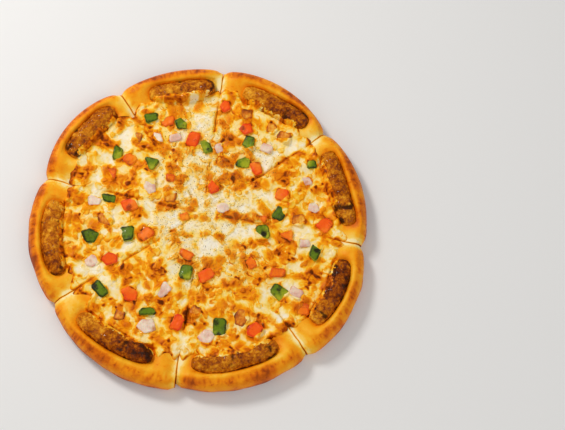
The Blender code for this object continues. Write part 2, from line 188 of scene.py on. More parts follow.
# Chunks that lie half sunk in the cheese: the kind, x, y, length and width in mm, turn in degrees, corners.
SUNK_CHUNKS = (
    ("green_pepper", 102, 55.5, 9.5, 7.5, 10, 4),
    ("orange_pepper", -30, 97, 13, 9.5, 12, 4),
    ("orange_pepper", -27, 43, 8, 7, 0, 4),
    ("orange_pepper", -64, 60.5, 12, 10, -34, 4),
    ("orange_pepper", -79, 47, 12, 7.5, 100, 3),
    ("orange_pepper", -14, 7, 8.5, 6.5, 12, 4),
    ("orange_pepper", -48, -10, 13, 11, 38, 4),
    ("orange_pepper", 57, 4.5, 12, 6.5, -24, 3),
    ("orange_pepper", 78, -11.5, 12, 9.5, 0, 3),
    ("orange_pepper", -12, -28, 13, 9.5, -26, 4),
    ("orange_pepper", 90.3, -78.3, 11.5, 11, -8, 4),
    ("orange_pepper", 46, -36.5, 11.5, 9, -60, 4),
    ("orange_pepper", 68, -45, 14.5, 9, -4, 4),
    ("onion", -38.5, 81.5, 10.5, 7.5, -56, 5),
    ("onion", -23, 80.5, 10.5, 7, 10, 4),
    ("onion", 16.5, 71, 8.5, 7, -80, 4),
    ("onion", 60, 71, 10.5, 8.5, -20, 4),
    ("onion", -45, 35, 14.5, 10.5, 80, 5),
    ("onion", -97, 22, 15, 9.5, -14, 5),
    ("onion", 102.5, 14.5, 11, 9, -50, 5),
    ("onion", 93, -18.5, 11.5, 6.5, -5, 4),
    ("onion", 85, -63.5, 12, 9.5, -28, 4),
    ("onion", 96, 39.5, 9.5, 8, 20, 4),
    ("chicken", 36.5, -85.5, 15, 13, 70, 6),
    ("chicken", -85, 4.5, 14.5, 12, -30, 5),
    ("chicken", -71, -81, 12.5, 9.5, 78, 4),
    ("chicken", 88, 3, 12.5, 11.5, 30, 5),
    ("chicken", 42, 103, 11.5, 10, 0, 5),
    ("chicken", 66, 90, 11.5, 10.5, 20, 5),
    ("chicken", 76.5, 82, 11, 9.5, -32, 4),
    ("chicken", -26.5, 25.5, 13, 10.5, -16, 5),
    ("chicken", -4.5, -79.5, 12, 11.5, 66, 5),
    ("chicken", -57, 81, 9.5, 7.5, 80, 4),
)
SUNK_THICKNESS = 3.6 * MM
SUNK_STANDS_PROUD = 1.3 * MM
CORNER_CHAMFER = 0.14
TOP_BEVEL = 0.7 * MM
CHUNK_TILT = 7.0
# How far the chunks that are nodes stand out of the cheese.
STANDS_PROUD = {"green_pepper": 2.2 * MM, "red_pepper": 2.2 * MM, "onion": 1.5 * MM}
# How far from the middle of a chunk the cheese that has run over it starts, in mm: least and most.
FILM_STARTS = {
    "green_pepper": (2.5, 7.0),
    "red_pepper": (2.5, 7.0),
    "orange_pepper": (1.0, 6.0),
    "onion": (1.0, 6.0),
    "chicken": (-0.5, 4.0),
}
FILM_WAVE = 1.2 * MM
FILM_THICKNESS = 0.35 * MM
FILM_BULGE = 0.5 * MM
# The cheese's collar round a chunk, the dark line round it, partly caught brown and partly painted shade, and
# the juice of a red or orange one.
COLLAR_WIDTH = 1.2 * MM
CAUGHT_AWAY = 0.6 * MM
CAUGHT_WIDTH = 0.9 * MM
JUICE_WIDTH = 2.5 * MM
JUICY = ("red_pepper", "orange_pepper")
# How uneven a chunk's surface is, in mm: its wide and its small bumps.
CHUNK_BUMPS = {
    "green_pepper": (0.45, 0.2),
    "red_pepper": (0.45, 0.2),
    "orange_pepper": (0.45, 0.2),
    "onion": (0.35, 0.12),
    "chicken": (0.4, 0.3),
}
CHUNK_VOXEL = 0.42 * MM
CHUNK_SWELL = 0.3
CHUNK_RIM = 2.2 * MM
# How much wider a chunk is than its solid, which has no soft bulging sides.
CHUNK_FULLNESS = 1.06

# Pools of melted white cheese, in mm: x, y, half width, half height.
WHITE_POOLS = (
    (-68, 82, 5, 16), (-85, 61, 8, 6), (-96, 42, 7, 5), (-96, 29, 12, 7), (-82, 97, 5, 5),
    (-36, 42, 6, 6), (-51, 17, 9, 7), (-74, 4, 6, 9), (-24, 5, 14, 8), (-8, 35, 5, 11),
    (-7, -2, 7, 7), (-28, 63, 5, 7), (10, 120, 7, 6), (4, 96, 9, 11), (60, 60, 11, 12),
    (82, 73, 11, 7), (99, 80, 5, 5), (62, 26, 14, 5), (17, 19, 11, 9), (40, 17, 11, 6),
    (103, 16, 5, 4), (91, -7, 12, 6), (40, -7, 14, 6), (20, -1, 9, 7), (-97, -43, 16, 7),
    (-63, -22, 9, 6), (-75, -64, 5, 12), (-13, -24, 7, 6), (-13, -60, 5, 11), (-25, -41, 7, 5),
    (-16, -105, 4, 9), (-99, -75, 6, 4), (113, -26, 6, 6), (81, -56, 6, 6), (55, -63, 5, 9),
    (73, -88, 5, 5), (1, -76, 7, 5), (59, -99, 5, 4), (5, -21, 9, 7), (6, -100, 8, 6),
    (-17, 80, 5, 5), (0, 69, 6, 7),
)
# Browned patches, in mm: x, y, half width, half height.
BROWNED_PATCHES = (
    (-73, 96, 5, 7), (-28, 113, 11, 4), (-49, 87, 7, 6), (-50, 71, 8, 6), (-86, 75, 7, 6),
    (-24, 64, 9, 9), (-65, 37, 9, 10), (-48, 52, 8, 5), (-28, 19, 9, 6), (-112, 22, 5, 7),
    (-106, 44, 7, 5), (-126, 40, 8, 5), (-109, 3, 9, 7), (-56, 10, 5, 6), (39, 106, 8, 6),
    (25, 80, 7, 11), (21, 59, 6, 6), (48, 39, 16, 6), (29, 39, 5, 9), (76, 55, 6, 10),
    (74, 43, 5, 7), (67, 91, 10, 6), (28, 7, 11, 5), (108, 34, 8, 8), (90, 65, 7, 4),
    (91, 7, 6, 6), (117, 22, 5, 6), (-114, -27, 10, 7), (-115, -50, 8, 7), (-61, -42, 12, 8),
    (-36, -41, 9, 6), (-83, -74, 12, 5), (-58, -74, 5, 6), (-33, -76, 8, 7), (-28, -107, 8, 6),
    (-6, -87, 9, 11), (-112, -62, 11, 4), (71, -21, 10, 7), (35, -21, 6, 4), (77, -31, 10, 4),
    (32, -54, 9, 7), (38, -62, 7, 6), (3, -64, 14, 6), (100, -52, 12, 9), (55, -43, 5, 8),
    (47, -53, 5, 5), (54, -87, 8, 6), (32, -98, 6, 5), (19, -111, 11, 4), (79, -97, 6, 4),
    (2, -45, 6, 4),
)
# Where dried herb lies thickest, in mm: x, y, half width, half height.
HERB_PATCHES = (
    (0, 45, 38, 62), (25, 5, 30, 22), (-15, 0, 30, 25), (-8, -35, 18, 25), (55, 62, 18, 16),
    (30, -35, 22, 20),
)
HERB_FLECKS_PER_SQUARE_METRE = 150000
HERB_FLECK = 0.5 * MM
# A fleck's shape, its least and greatest share of that size, and its least and greatest turns, in radians.
FLECK_SHAPE = (1.0, 0.5, 0.2)
FLECK_SIZES = (0.45, 1.35)
FLECK_TURNS = ((-0.5, -0.5, 0.0), (0.5, 0.5, math.tau))

# Every noise that shapes, browns or paints shade on a piece: the width of its bumps in mm, and its seed.
NOISES = {
    "cheese swells": (34, 3),
    "cheese lumps": (15, 5),
    "bend x": (12, 11),
    "fine bend x": (4.5, 12),
    "bend y": (12, 13),
    "fine bend y": (4.5, 14),
    "clouds": (13, 17),
    "flecks": (2.2, 18),
    "strands": (8, 19),
    "browned edges": (5, 20),
    "strands here": (21, 21),
    "outlines here": (6, 22),
    "collar": (3, 23),
    "speckle": (1.7, 24),
    "caught here": (4, 25),
    "shred rims here": (5, 27),
    "broken brown": (3.4, 28),
    "crevices": (6, 29),
    "crevices here": (7, 30),
    "crust swells": (19, 31),
    "crust lumps": (7.5, 32),
    "crust edge": (16, 35),
    "crust clouds": (21, 41),
    "crust patches": (6, 42),
    "crust streaks": (2.6, 43),
    "crust mottling": (12, 44),
    "fine crust mottling": (3.6, 45),
    "kebab thickness": (17, 21),
    "cuts shut": (26, 90),
    "fine cuts shut": (9, 91),
    "waver": (24, 92),
    "fine waver": (7, 93),
    "ragged edge": (12, 95),
    "fine ragged edge": (5, 96),
    "film edge": (6, 97),
    "kebab swells": (19, 90),
    "kebab lumps": (8.5, 50),
    "mince": (3.6, 60),
    "meat crumbs": (1.5, 70),
    "meat cracks": (6.5, 80),
    "meat spots": (5, 85),
    "wide chunk bumps": (5, 500),
    "small chunk bumps": (2, 600),
    "chunk scorches": (7, 700),
}
# How many cells wide a noise is before it repeats, and what brings it to about -1 to 1.
NOISE_CELLS = 256
RIPPLE_GAIN = 1.6
GRAIN_GAIN = 1.7
# The seeds of the other random draws.
FIRST_CHUNK_DRAW = 900
CURD_SEED = 15
BEAD_SEED = 16
SHRED_SEED = 26
FIRST_SUNK_SEED = 400
# How far apart the cuts, the kebabs and the slices' edges lie in a noise that runs along them, and how long
# each kebab is there.
CUT_NOISE_APART = 50 * MM
KEBAB_NOISE_APART = 40 * MM
SLICES_APART = 200 * MM
KEBAB_LENGTH = 70 * MM

# How many points each mesh has along and across.
DOUGH_COLUMNS = 130
FOOT_ROWS = 9
ROLL_ROWS = 24
CRUST_ROWS = 56
LIP_ROWS = 6
CHEESE_COLUMNS = 190
CHEESE_ROWS = 260
KEBAB_RINGS = 180
KEBAB_SIDES = 104

# The camera, with its elevation in degrees, its distance in metres, and its lens and sensor in mm.
CAMERA_ELEVATION = 76.0
CAMERA_DISTANCE = 1.15
CAMERA_LENS = 81.3
SENSOR = 36.0
PHOTO_WIDTH = 565
PHOTO_HEIGHT = 430
# The pixel of the photograph at which the middle of the cheese lies.
MIDDLE_PIXEL = (200.4, 224.6)
MIDDLE_HEIGHT = 12 * MM
FLOOR_HALF_WIDTH = 3.0
# For each light: its name, its place, its width, its power and its tint.
LIGHTS = (
    ("key", (-0.65, 0.7, 0.95), 0.3, 9.5, (1.0, 0.97, 0.93)),
    ("fill", (0.9, -0.5, 1.0), 1.2, 3.2, (1.0, 0.99, 0.97)),
    ("front", (-0.4, -1.1, 0.8), 0.9, 2.0, (1.0, 0.98, 0.95)),
)


def smooth_step(x):
    """Rises from 0 to 1 as x does, and levels out at both ends."""
    x = np.clip(x, 0.0, 1.0)
    return x * x * (3 - 2 * x)


def between(low, high, x):
    """0 below low, 1 above high, and a smooth rise between them."""
    return smooth_step((x - low) / (high - low))


def bell(x, width):
    """1 where x is 0, falling to about a third at the width on either side."""
    return np.exp(-((x / width) ** 2))


def through(start, middle, end, t):
    """The smooth curve that has these values at 0, a half and 1."""
    return start * (1 - t) * (1 - 2 * t) + 4 * middle * t * (1 - t) + end * t * (2 * t - 1)


def ripple(x, y, name):
    """The named noise over the plan, from about -1 to 1."""
    width, seed = NOISES[name]
    size = width * MM
    angles = np.random.default_rng(seed).random((NOISE_CELLS, NOISE_CELLS)) * math.tau
    u = np.asarray(x, float) / size + NOISE_CELLS / 2
    v = np.asarray(y, float) / size + NOISE_CELLS / 2
    i, j = np.floor(u).astype(int), np.floor(v).astype(int)
    total = 0.0
    for di in (0, 1):
        for dj in (0, 1):
            angle = angles[(i + di) % NOISE_CELLS, (j + dj) % NOISE_CELLS]
            du, dv = u - i - di, v - j - dj
            fade_u, fade_v = 1 - smooth_step(abs(du)), 1 - smooth_step(abs(dv))
            total = total + fade_u * fade_v * (np.cos(angle) * du + np.sin(angle) * dv)
    return RIPPLE_GAIN * total


def grain(points, name, number):
    """The named noise in space, from about -1 to 1, with another pattern for each number."""
    width, seed = NOISES[name]
    draw = np.random.default_rng(seed + number)
    order = draw.permutation(NOISE_CELLS)
    slopes = draw.normal(size=(NOISE_CELLS, 3))
    slopes /= np.linalg.norm(slopes, axis=1)[:, None]
    scaled = points / (width * MM)
    cell = np.floor(scaled).astype(int)
    total = np.zeros(len(points))
    for corner in np.ndindex(2, 2, 2):
        at = cell + corner
        pick = 0
        for axis in (0, 1, 2):
            pick = order[(pick + at[:, axis]) % NOISE_CELLS]
        away = scaled - at
        fade = np.prod(1 - smooth_step(np.abs(away)), axis=1)
        total += fade * np.sum(slopes[pick] * away, axis=1)
    return GRAIN_GAIN * total


def melted_lumps(x, y, spacing, seed):
    """Rounded lumps that have melted together: 1 on top of each and 0 where several meet, and each lump's
    own number from 0 to 1, which blends softly into its neighbours'."""
    draw = np.random.default_rng(seed)
    shape = (NOISE_CELLS, NOISE_CELLS)
    shift_x, shift_y, numbers = draw.random(shape), draw.random(shape), draw.random(shape)
    u, v = x / spacing + NOISE_CELLS / 2, y / spacing + NOISE_CELLS / 2
    i, j = np.floor(u).astype(int), np.floor(v).astype(int)
    total = np.full(np.shape(x), 1e-9)
    number = np.zeros(np.shape(x))
    for di in (-1, 0, 1):
        for dj in (-1, 0, 1):
            a, b = (i + di) % NOISE_CELLS, (j + dj) % NOISE_CELLS
            away = (u - i - di - shift_x[a, b]) ** 2 + (v - j - dj - shift_y[a, b]) ** 2
            weight = np.exp(-LUMP_SHARPNESS * away)
            total = total + weight
            number = number + weight * numbers[a, b]
    low = -np.log(total) / LUMP_SHARPNESS
    return 1 - smooth_step((low - LUMP_CREST) / LUMP_FALL), number / total


def patches(x, y, rows, edge):
    """1 in the middle of each patch and 0 outside them all."""
    best = np.zeros(np.shape(x))
    for px, py, half_width, half_height in rows:
        away = np.hypot((x / MM - px) / half_width, (y / MM - py) / half_height)
        best = np.maximum(best, 1 - smooth_step((away - 1 + edge) / (2 * edge)))
    return best


class Slice:
    """One slice's plan: a wedge between two cuts, with its point moved in by half the knife's width."""

    def __init__(self, index):
        first, *reach, crust_width = SLICES[index]
        last = SLICES[(index + 1) % len(SLICES)][0]
        self.index = index
        self.number = index + 1
        self.first = math.radians(first)
        self.span = math.radians((last - first) % 360)
        self.reach = [r * MM for r in reach]
        self.crust_width = crust_width * MM
        middle = self.first + self.span / 2
        set_back = CUT_WIDTH / 2 / math.sin(self.span / 2)
        self.point = CUT_POINT + Vector((math.cos(middle), math.sin(middle))) * set_back
        self.cuts = (index, (index + 1) % len(SLICES))

    def crust_reach(self, v):
        """Distance from the slice's point to its crust's edge, at a share v of the way between its cuts."""
        curve = through(*self.reach, v)
        return curve - CORNER_ROUNDING * bell(self.to_cut(curve, v), CORNER_REACH)

    def to_cut(self, reach, v):
        """Distance to the nearer cut."""
        return reach * np.sin(np.minimum(v, 1 - v) * self.span)

    def place(self, reach, v):
        """The point at a distance from the slice's point, at a share v between its cuts."""
        bearing = self.first + v * self.span
        return self.point.x + reach * np.cos(bearing), self.point.y + reach * np.sin(bearing)

    def polar(self, x, y):
        """Distance from the slice's point, and the share of the way between its cuts."""
        away_x, away_y = x - self.point.x, y - self.point.y
        turn = (np.arctan2(away_y, away_x) - self.first + math.pi) % math.tau - math.pi
        return np.hypot(away_x, away_y), np.clip(turn / self.span, 0.0, 1.0)

    def lip(self, v):
        """How far in from the edge the crust ends."""
        to_cut = self.to_cut(self.crust_reach(v) - LIP_AT_MIDDLE, v)
        share = smooth_step((to_cut - LIP_NARROWS_FROM) / LIP_NARROWS_OVER)
        return self.crust_width + (LIP_AT_MIDDLE - self.crust_width) * share


def press(to_cut):
    """The knife presses the dough down beside each cut."""
    return 1 - PRESS_AT_CUT * bell(to_cut, PRESS_REACH)


def crust_top(inset, lip):
    """Height of the rolled crust at a distance in from the edge, before the knife presses it."""
    rise = WIDEST + (CREST - WIDEST) * np.sqrt(1 - (1 - np.clip(inset / ROLL, 0, 1)) ** 2)
    fall = (CREST - INNER_CRUST) * smooth_step((inset - ROLL) / (lip - ROLL))
    bank = (INNER_CRUST - BED) * np.clip((inset - lip) / LIP_RUN, 0, 1)
    return rise - fall - bank


def kebab_shares(index, x, y):
    """Where points lie on a kebab: the share of its length, and how far outwards of its line."""
    first, last, *reach = KEBABS[index]
    away_x, away_y = x - CUT_POINT.x, y - CUT_POINT.y
    turn = (np.degrees(np.arctan2(away_y, away_x)) - first + 180) % 360 - 180
    along = turn / (last - first)
    return along, np.hypot(away_x, away_y) - through(*reach, np.clip(along, 0.0, 1.0)) * MM


def kebab_fullness(along):
    """How thick a kebab is at a share of its length: 1 in the middle and 0 at its blunt ends."""
    return np.clip(1 - np.abs(2 * along - 1) ** KEBAB_END_POWER, 0, 1) ** (1 / KEBAB_END_POWER)


def kebab_rim(index, x, y):
    """0 on a kebab's line, 1 on its outline seen from above, and more outside it."""
    along, outwards = kebab_shares(index, x, y)
    end = np.abs(2 * along - 1) ** KEBAB_END_POWER
    side = np.abs(outwards / KEBAB_HALF_WIDTH) ** KEBAB_END_POWER
    return (end + side) ** (1 / KEBAB_END_POWER)


def kebab_top(index, x, y):
    """Height of a kebab's upper side, or a low number where there is none."""
    along, outwards = kebab_shares(index, x, y)
    full = kebab_fullness(along)
    across = np.abs(outwards) / (KEBAB_HALF_WIDTH * np.maximum(full, 1e-3))
    height = KEBAB_HALF_HEIGHT * full * np.sqrt(np.clip(1 - across**2, 0, 1))
    return np.where(across < 1, KEBAB_AXIS_HEIGHT + height, 0.0)


def dough_top(piece, x, y):
    """Height of a slice's dough: it has risen unevenly, with a groove for its kebab."""
    reach, v = piece.polar(x, y)
    inset = piece.crust_reach(v) - reach
    z = crust_top(inset, piece.lip(v)) * press(piece.to_cut(reach, v))
    lumps = 0.75 * MM * ripple(x, y, "crust swells") + 0.4 * MM * ripple(x, y, "crust lumps")
    z = z + lumps * between(0, LUMPS_FADE, inset)
    beyond = (kebab_rim(piece.index, x, y) - 1) * KEBAB_HALF_WIDTH
    groove = GROOVE_DEPTH * bell(np.maximum(beyond, 0), GROOVE_WIDTH)
    swell = SWELL_HEIGHT * bell(beyond - SWELL_AWAY, SWELL_WIDTH) * (inset > ROLL * 0.6)
    z = z - groove + swell
    in_bed = z + (np.minimum(KEBAB_BED, z) - z) * between(0, KEBAB_BED_EDGE, -beyond)
    return np.where(beyond < 0, in_bed, z)


def cheese_level(piece, x, y):
    """Height of the cheese on one slice, before its finer relief: it rises where it meets the crust."""
    reach, v = piece.polar(x, y)
    to_edge = np.maximum(piece.crust_reach(v) - piece.lip(v) - reach, 0.0)
    swells = 0.9 * MM * ripple(x, y, "cheese swells") + 1.1 * MM * ripple(x, y, "cheese lumps")
    return CHEESE_TOP + swells + CHEESE_EDGE_RISE * bell(to_edge, CHEESE_EDGE_REACH)


class Value:
    """A shader socket that Python's operators work on: each one adds its Math node."""

    def __init__(self, finish, socket):
        self.finish = finish
        self.socket = socket

    def __add__(self, other):
        return self.finish.math("ADD", self, other)

    def __sub__(self, other):
        return self.finish.math("SUBTRACT", self, other)

    def __mul__(self, other):
        return self.finish.math("MULTIPLY", self, other)

    def __rsub__(self, other):
        return self.finish.math("SUBTRACT", other, self)

    __radd__ = __add__
    __rmul__ = __mul__


class Finish:
    """A material under construction round its Principled shader."""

    def __init__(self, name, **constants):
        self.made = bpy.data.materials.new(name)
        self.made.use_nodes = True
        self.tree = self.made.node_tree
        self.shader = self.tree.nodes["Principled BSDF"]
        for words, value in constants.items():
            self.shader.inputs[words.replace("_", " ").title().replace("Ior", "IOR")].default_value = value

    def node(self, kind, settings=None, inputs=None, output=0):
        """Adds one node: its settings first, then the values or links of its sockets."""
        made = self.tree.nodes.new(kind)
        for key, value in (settings or {}).items():
            if key == "stops":
                self.set_stops(made.color_ramp, value)
            else:
                setattr(made, key, value)
        for key, value in (inputs or {}).items():
            self.plug(made.inputs[key], value)
        return Value(self, made.outputs[output])

    def plug(self, socket, value):
        """Gives a socket a value, or links it to another socket."""
        if isinstance(value, Value):
            self.tree.links.new(value.socket, socket)
        else:
            socket.default_value = value

    def set_stops(self, ramp, stops):
        """Gives a colour ramp its stops."""
        while len(ramp.elements) < len(stops):
            ramp.elements.new(0.5)
        for element, (position, tint) in zip(ramp.elements, stops):
            element.position = position
            element.color = tint

    def math(self, operation, first, second):
        """One Math node on two values."""
        return self.node("ShaderNodeMath", {"operation": operation}, {0: first, 1: second})

    def attribute(self, name):
        """A named value of the mesh's points."""
        return self.node("ShaderNodeAttribute", {"attribute_name": name}, output="Fac")

    def noise(self, size, detail=3.0, roughness=0.6, stretch=(1, 1, 1)):
        """Noise in bumps about as wide as size, from 0 to 1."""
        where = self.node("ShaderNodeTexCoord", output="Object")
        where = self.node("ShaderNodeMapping", inputs={"Vector": where, "Scale": stretch})
        wanted = {"Vector": where, "Scale": 0.6 / size, "Detail": detail, "Roughness": roughness}
        return self.node("ShaderNodeTexNoise", inputs=wanted, output="Fac")

    def smooth(self, value, low, high):
        """0 below low, 1 above high, and a smooth rise between them."""
        settings = {"interpolation_type": "SMOOTHSTEP"}
        return self.node("ShaderNodeMapRange", settings, {"Value": value, "From Min": low, "From Max": high})

    def ramp(self, value, *stops):
        """The colour that a value has between the stops."""
        return self.node("ShaderNodeValToRGB", {"stops": stops}, {"Fac": value}, output="Color")

    def mix(self, share, first, second):
        """Mixes two colours. The node's sockets for colours are its seventh and eighth."""
        return self.node("ShaderNodeMix", {"data_type": "RGBA"}, {0: share, 6: first, 7: second}, output=2)

    def bump(self, height, distance, strength=1.0):
        """A normal that follows a height."""
        wanted = {"Height": height, "Distance": distance, "Strength": strength}
        return self.node("ShaderNodeBump", inputs=wanted, output="Normal")

    def done(self, **links):
        """Links the shader's sockets, and returns the finished material."""
        for words, value in links.items():
            self.plug(self.shader.inputs[words.replace("_", " ").title()], value)
        return self.made


def colour(red, green, blue):
    """A colour given as it looks on screen, from 0 to 255, in the shader's linear terms."""
    linear = []
    for level in (red, green, blue):
        share = level / 255
        linear.append(share / 12.92 if share <= 0.04045 else ((share + 0.055) / 1.055) ** 2.4)
    return (*linear, 1.0)


MILK = colour(255, 243, 216)
CREAM = colour(255, 232, 172)
BUTTER = colour(255, 220, 116)
GOLD = colour(255, 194, 44)
HONEY = colour(252, 162, 8)
AMBER = colour(232, 122, 2)
TOAST = colour(178, 76, 0)
UMBER = colour(104, 42, 0)
CHAR_AND_SHADE = colour(48, 18, 0)
# For each pepper: its skin where it is light, deeper and darkest, its cut sides' flesh, and its scorches. The
# three skin colours also paint light and shade across each piece.
PEPPERS = {
    "green_pepper": ((170, 174, 26), (100, 126, 6), (38, 48, 0), (150, 160, 38), (34, 30, 6)),
    "red_pepper": ((255, 130, 24), (255, 96, 4), (232, 60, 0), (255, 136, 30), (160, 56, 2)),
    "orange_pepper": ((255, 154, 24), (255, 124, 4), (230, 90, 0), (255, 154, 34), (176, 76, 4)),
}


def cheese_finish():
    """Melted cheese: cream where it has run, golden where it has set, orange-brown on its blisters."""
    look = Finish(
        "melted_cheese",
        subsurface_weight=0.05,
        subsurface_scale=2 * MM,
        subsurface_radius=(1.0, 0.55, 0.25),
        ior=1.45,
        specular_ior_level=0.08,
    )
    fine = look.noise(0.9 * MM, 3.0, 0.6)
    specks = look.noise(2.4 * MM, 3.0, 0.6)
    herb = look.attribute("herb")
    # The browning value also holds painted shade in the crevices, between the lumps, round the chunks and
    # along the cuts.
    tone = look.attribute("browning") + (fine - 0.5) * 0.16 + (specks - 0.5) * 0.16
    baked = look.ramp(
        tone,
        (0.02, MILK),
        (0.16, CREAM),
        (0.3, BUTTER),
        (0.42, GOLD),
        (0.55, HONEY),
        (0.7, AMBER),
        (0.86, TOAST),
        (1.0, UMBER),
    )
    # Where herb lies, the cheese has stayed paler and duller.
    pale = look.ramp(
        tone,
        (0.04, colour(252, 244, 226)),
        (0.24, colour(250, 228, 178)),
        (0.42, colour(250, 194, 80)),
        (0.6, colour(240, 144, 20)),
        (0.8, colour(196, 88, 2)),
        (1.0, UMBER),
    )
    dull = look.smooth(look.noise(8 * MM, 2.0, 0.5) + herb * 0.16, 0.5, 0.68)
    baked = look.mix(dull * 0.6, baked, pale)
    # Herb that has soaked in shows as soft dull specks.
    soaked = look.smooth(look.noise(1.5 * MM, 2.0, 0.5) + herb * 0.09, 0.6, 0.72)
    surface = look.mix(soaked * herb * 0.26, baked, colour(176, 142, 60))
    surface = look.mix(look.attribute("crumb"), surface, colour(250, 218, 140))
    rough = 0.42 - look.attribute("milk") * 0.1 + (specks - 0.5) * 0.3
    normal = look.bump(fine * 0.3 + specks, 0.35 * MM, 0.5)
    gloss = look.smooth(specks, 0.52, 0.7) * 0.3
    return look.done(base_color=surface, roughness=rough, coat_weight=gloss, normal=normal)


def dough_finish():
    """Baked dough: pale in the folds, golden over the crust, orange-brown where it has caught."""
    look = Finish(
        "baked_dough",
        subsurface_weight=0.06,
        subsurface_scale=2 * MM,
        subsurface_radius=(1.0, 0.5, 0.2),
        ior=1.42,
        specular_ior_level=0.16,
    )
    fine = look.noise(1.2 * MM, 4.0, 0.65)
    clouds = look.noise(7 * MM, 3.0, 0.5)
    spots = look.smooth(look.noise(2.4 * MM, 3.0, 0.6), 0.56, 0.72)
    # The toast value also holds painted shade against the kebab and along the knife's gap.
    tone = look.attribute("toast") + (fine - 0.5) * 0.2 + (clouds - 0.5) * 0.24 + spots * 0.11
    baked = look.ramp(
        tone,
        (0.0, colour(255, 236, 176)),
        (0.16, colour(255, 214, 104)),
        (0.36, colour(255, 186, 40)),
        (0.6, colour(250, 152, 8)),
        (0.8, colour(222, 108, 0)),
        (1.0, colour(160, 66, 2)),
    )
    surface = look.mix(look.attribute("crumb"), baked, colour(252, 226, 160))
    under = look.ramp(
        tone + (clouds - 0.5) * 0.5,
        (0.2, colour(228, 180, 104)),
        (0.6, colour(204, 136, 60)),
        (1.0, UMBER),
    )
    surface = look.mix(look.attribute("underside"), surface, under)
    normal = look.bump(fine * 0.7 + clouds * 0.5 + spots * 0.5, 0.3 * MM, 0.6)
    return look.done(base_color=surface, roughness=0.48 + (clouds - 0.5) * 0.3, normal=normal)


def kebab_finish():
    """Grilled mince: golden brown grains, charred in places and painted darker as shade low on its sides,
    with raised grains painted lighter as highlights, and a film of fat.
    """
    look = Finish("grilled_mince", ior=1.45, specular_ior_level=0.1)
    grains = look.noise(1.1 * MM, 5.0, 0.75)
    lumps = look.noise(3.0 * MM, 4.0, 0.65)
    meat_lumps = look.noise(6.5 * MM, 3.0, 0.6)
    tone = 0.47 + (grains - 0.5) * 1.05 + (lumps - 0.5) * 1.2 + (meat_lumps - 0.5) * 0.6
    # Painted highlight and shade: the raised grains of mince are painted lighter, the hollows between them
    # darker.
    tone = tone + look.attribute("shade") * 0.28 - look.attribute("ridge") * 0.22
    meat = look.ramp(
        tone,
        (0.0, colour(246, 174, 46)),
        (0.24, colour(216, 130, 16)),
        (0.44, colour(184, 94, 2)),
        (0.66, colour(128, 52, 0)),
        (0.92, colour(60, 20, 0)),
    )
    # The char value holds the real char spots and the painted shade low on the roll's sides.
    burnt_and_shaded = look.smooth(look.attribute("char") + (grains - 0.5) * 0.7 + (lumps - 0.5) * 0.5, 0.4, 1.1)
    surface = look.mix(burnt_and_shaded * 0.92, meat, CHAR_AND_SHADE)
    normal = look.bump(grains + lumps * 0.6, 0.8 * MM, 1.0)
    fat = look.smooth(grains * 0.5 + lumps * 0.5, 0.48, 0.6)
    return look.done(base_color=surface, roughness=0.55 - fat * 0.25, coat_weight=fat * 0.35, normal=normal)


def pepper_finish(name, light, skin, shaded, flesh, scorch):
    """Diced pepper: softly shining skin from light to deep, wet flesh on its cut sides, a darker rim and a
    scorched spot here and there."""
    look = Finish(name, subsurface_weight=0.05, subsurface_scale=1.5 * MM, ior=1.45, specular_ior_level=0.25)
    fine = look.noise(0.9 * MM, 4.0, 0.65)
    clouds = look.noise(4.0 * MM, 3.0, 0.6)
    shade = look.attribute("shade")
    skinned = look.smooth(look.attribute("skin") + (clouds - 0.5) * 0.6, 0.3, 0.6)
    # Ripe and deep follow the shade value, so each piece is painted darker as shade towards one side.
    ripe = look.smooth(shade + (clouds - 0.5) * 1.0, -0.1, 0.35)
    deep = look.attribute("rim") * 0.7 + shade * 0.5 + (clouds - 0.5) * 1.5 + (fine - 0.5) * 0.9
    scorched = look.smooth(look.attribute("caught") + (fine - 0.5) * 0.7, 0.44, 0.84)
    surface = look.mix(look.smooth(deep, 0.25, 1.0), look.mix(ripe, light, skin), shaded)
    surface = look.mix(scorched, look.mix(skinned, flesh, surface), scorch)
    normal = look.bump(fine * 0.6 + clouds, 0.4 * MM, 0.8)
    gloss = look.smooth(clouds + (fine - 0.5) * 0.4, 0.5, 0.66) * 0.3
    return look.done(base_color=surface, roughness=0.46 - gloss * 0.3, coat_weight=gloss, normal=normal)


def onion_finish():
    """Onion: wet, pale and half clear, with layers and pinkish edges."""
    look = Finish(
        "onion_layers",
        subsurface_weight=0.2,
        subsurface_scale=3 * MM,
        ior=1.42,
        specular_ior_level=0.25,
    )
    layers = look.noise(1.3 * MM, 3.0, 0.55, (1.0, 0.22, 0.6))
    clouds = look.noise(4 * MM, 3.0, 0.6)
    # The shade value paints one side of the piece pinker and darker, partly as painted shade.
    tinted = look.smooth(layers * 0.3 + clouds * 0.8 + look.attribute("shade") * 0.3, 0.45, 1.0)
    browned = look.smooth(look.attribute("caught") + (layers - 0.5) * 0.5, 0.5, 0.95)
    surface = look.mix(tinted, colour(252, 232, 208), colour(222, 166, 146))
    surface = look.mix(browned, surface, colour(190, 112, 40))
    normal = look.bump(layers, 0.4 * MM, 0.7)
    rough = 0.36 + (clouds - 0.5) * 0.2
    return look.done(base_color=surface, roughness=rough, coat_weight=clouds * 0.25, normal=normal)


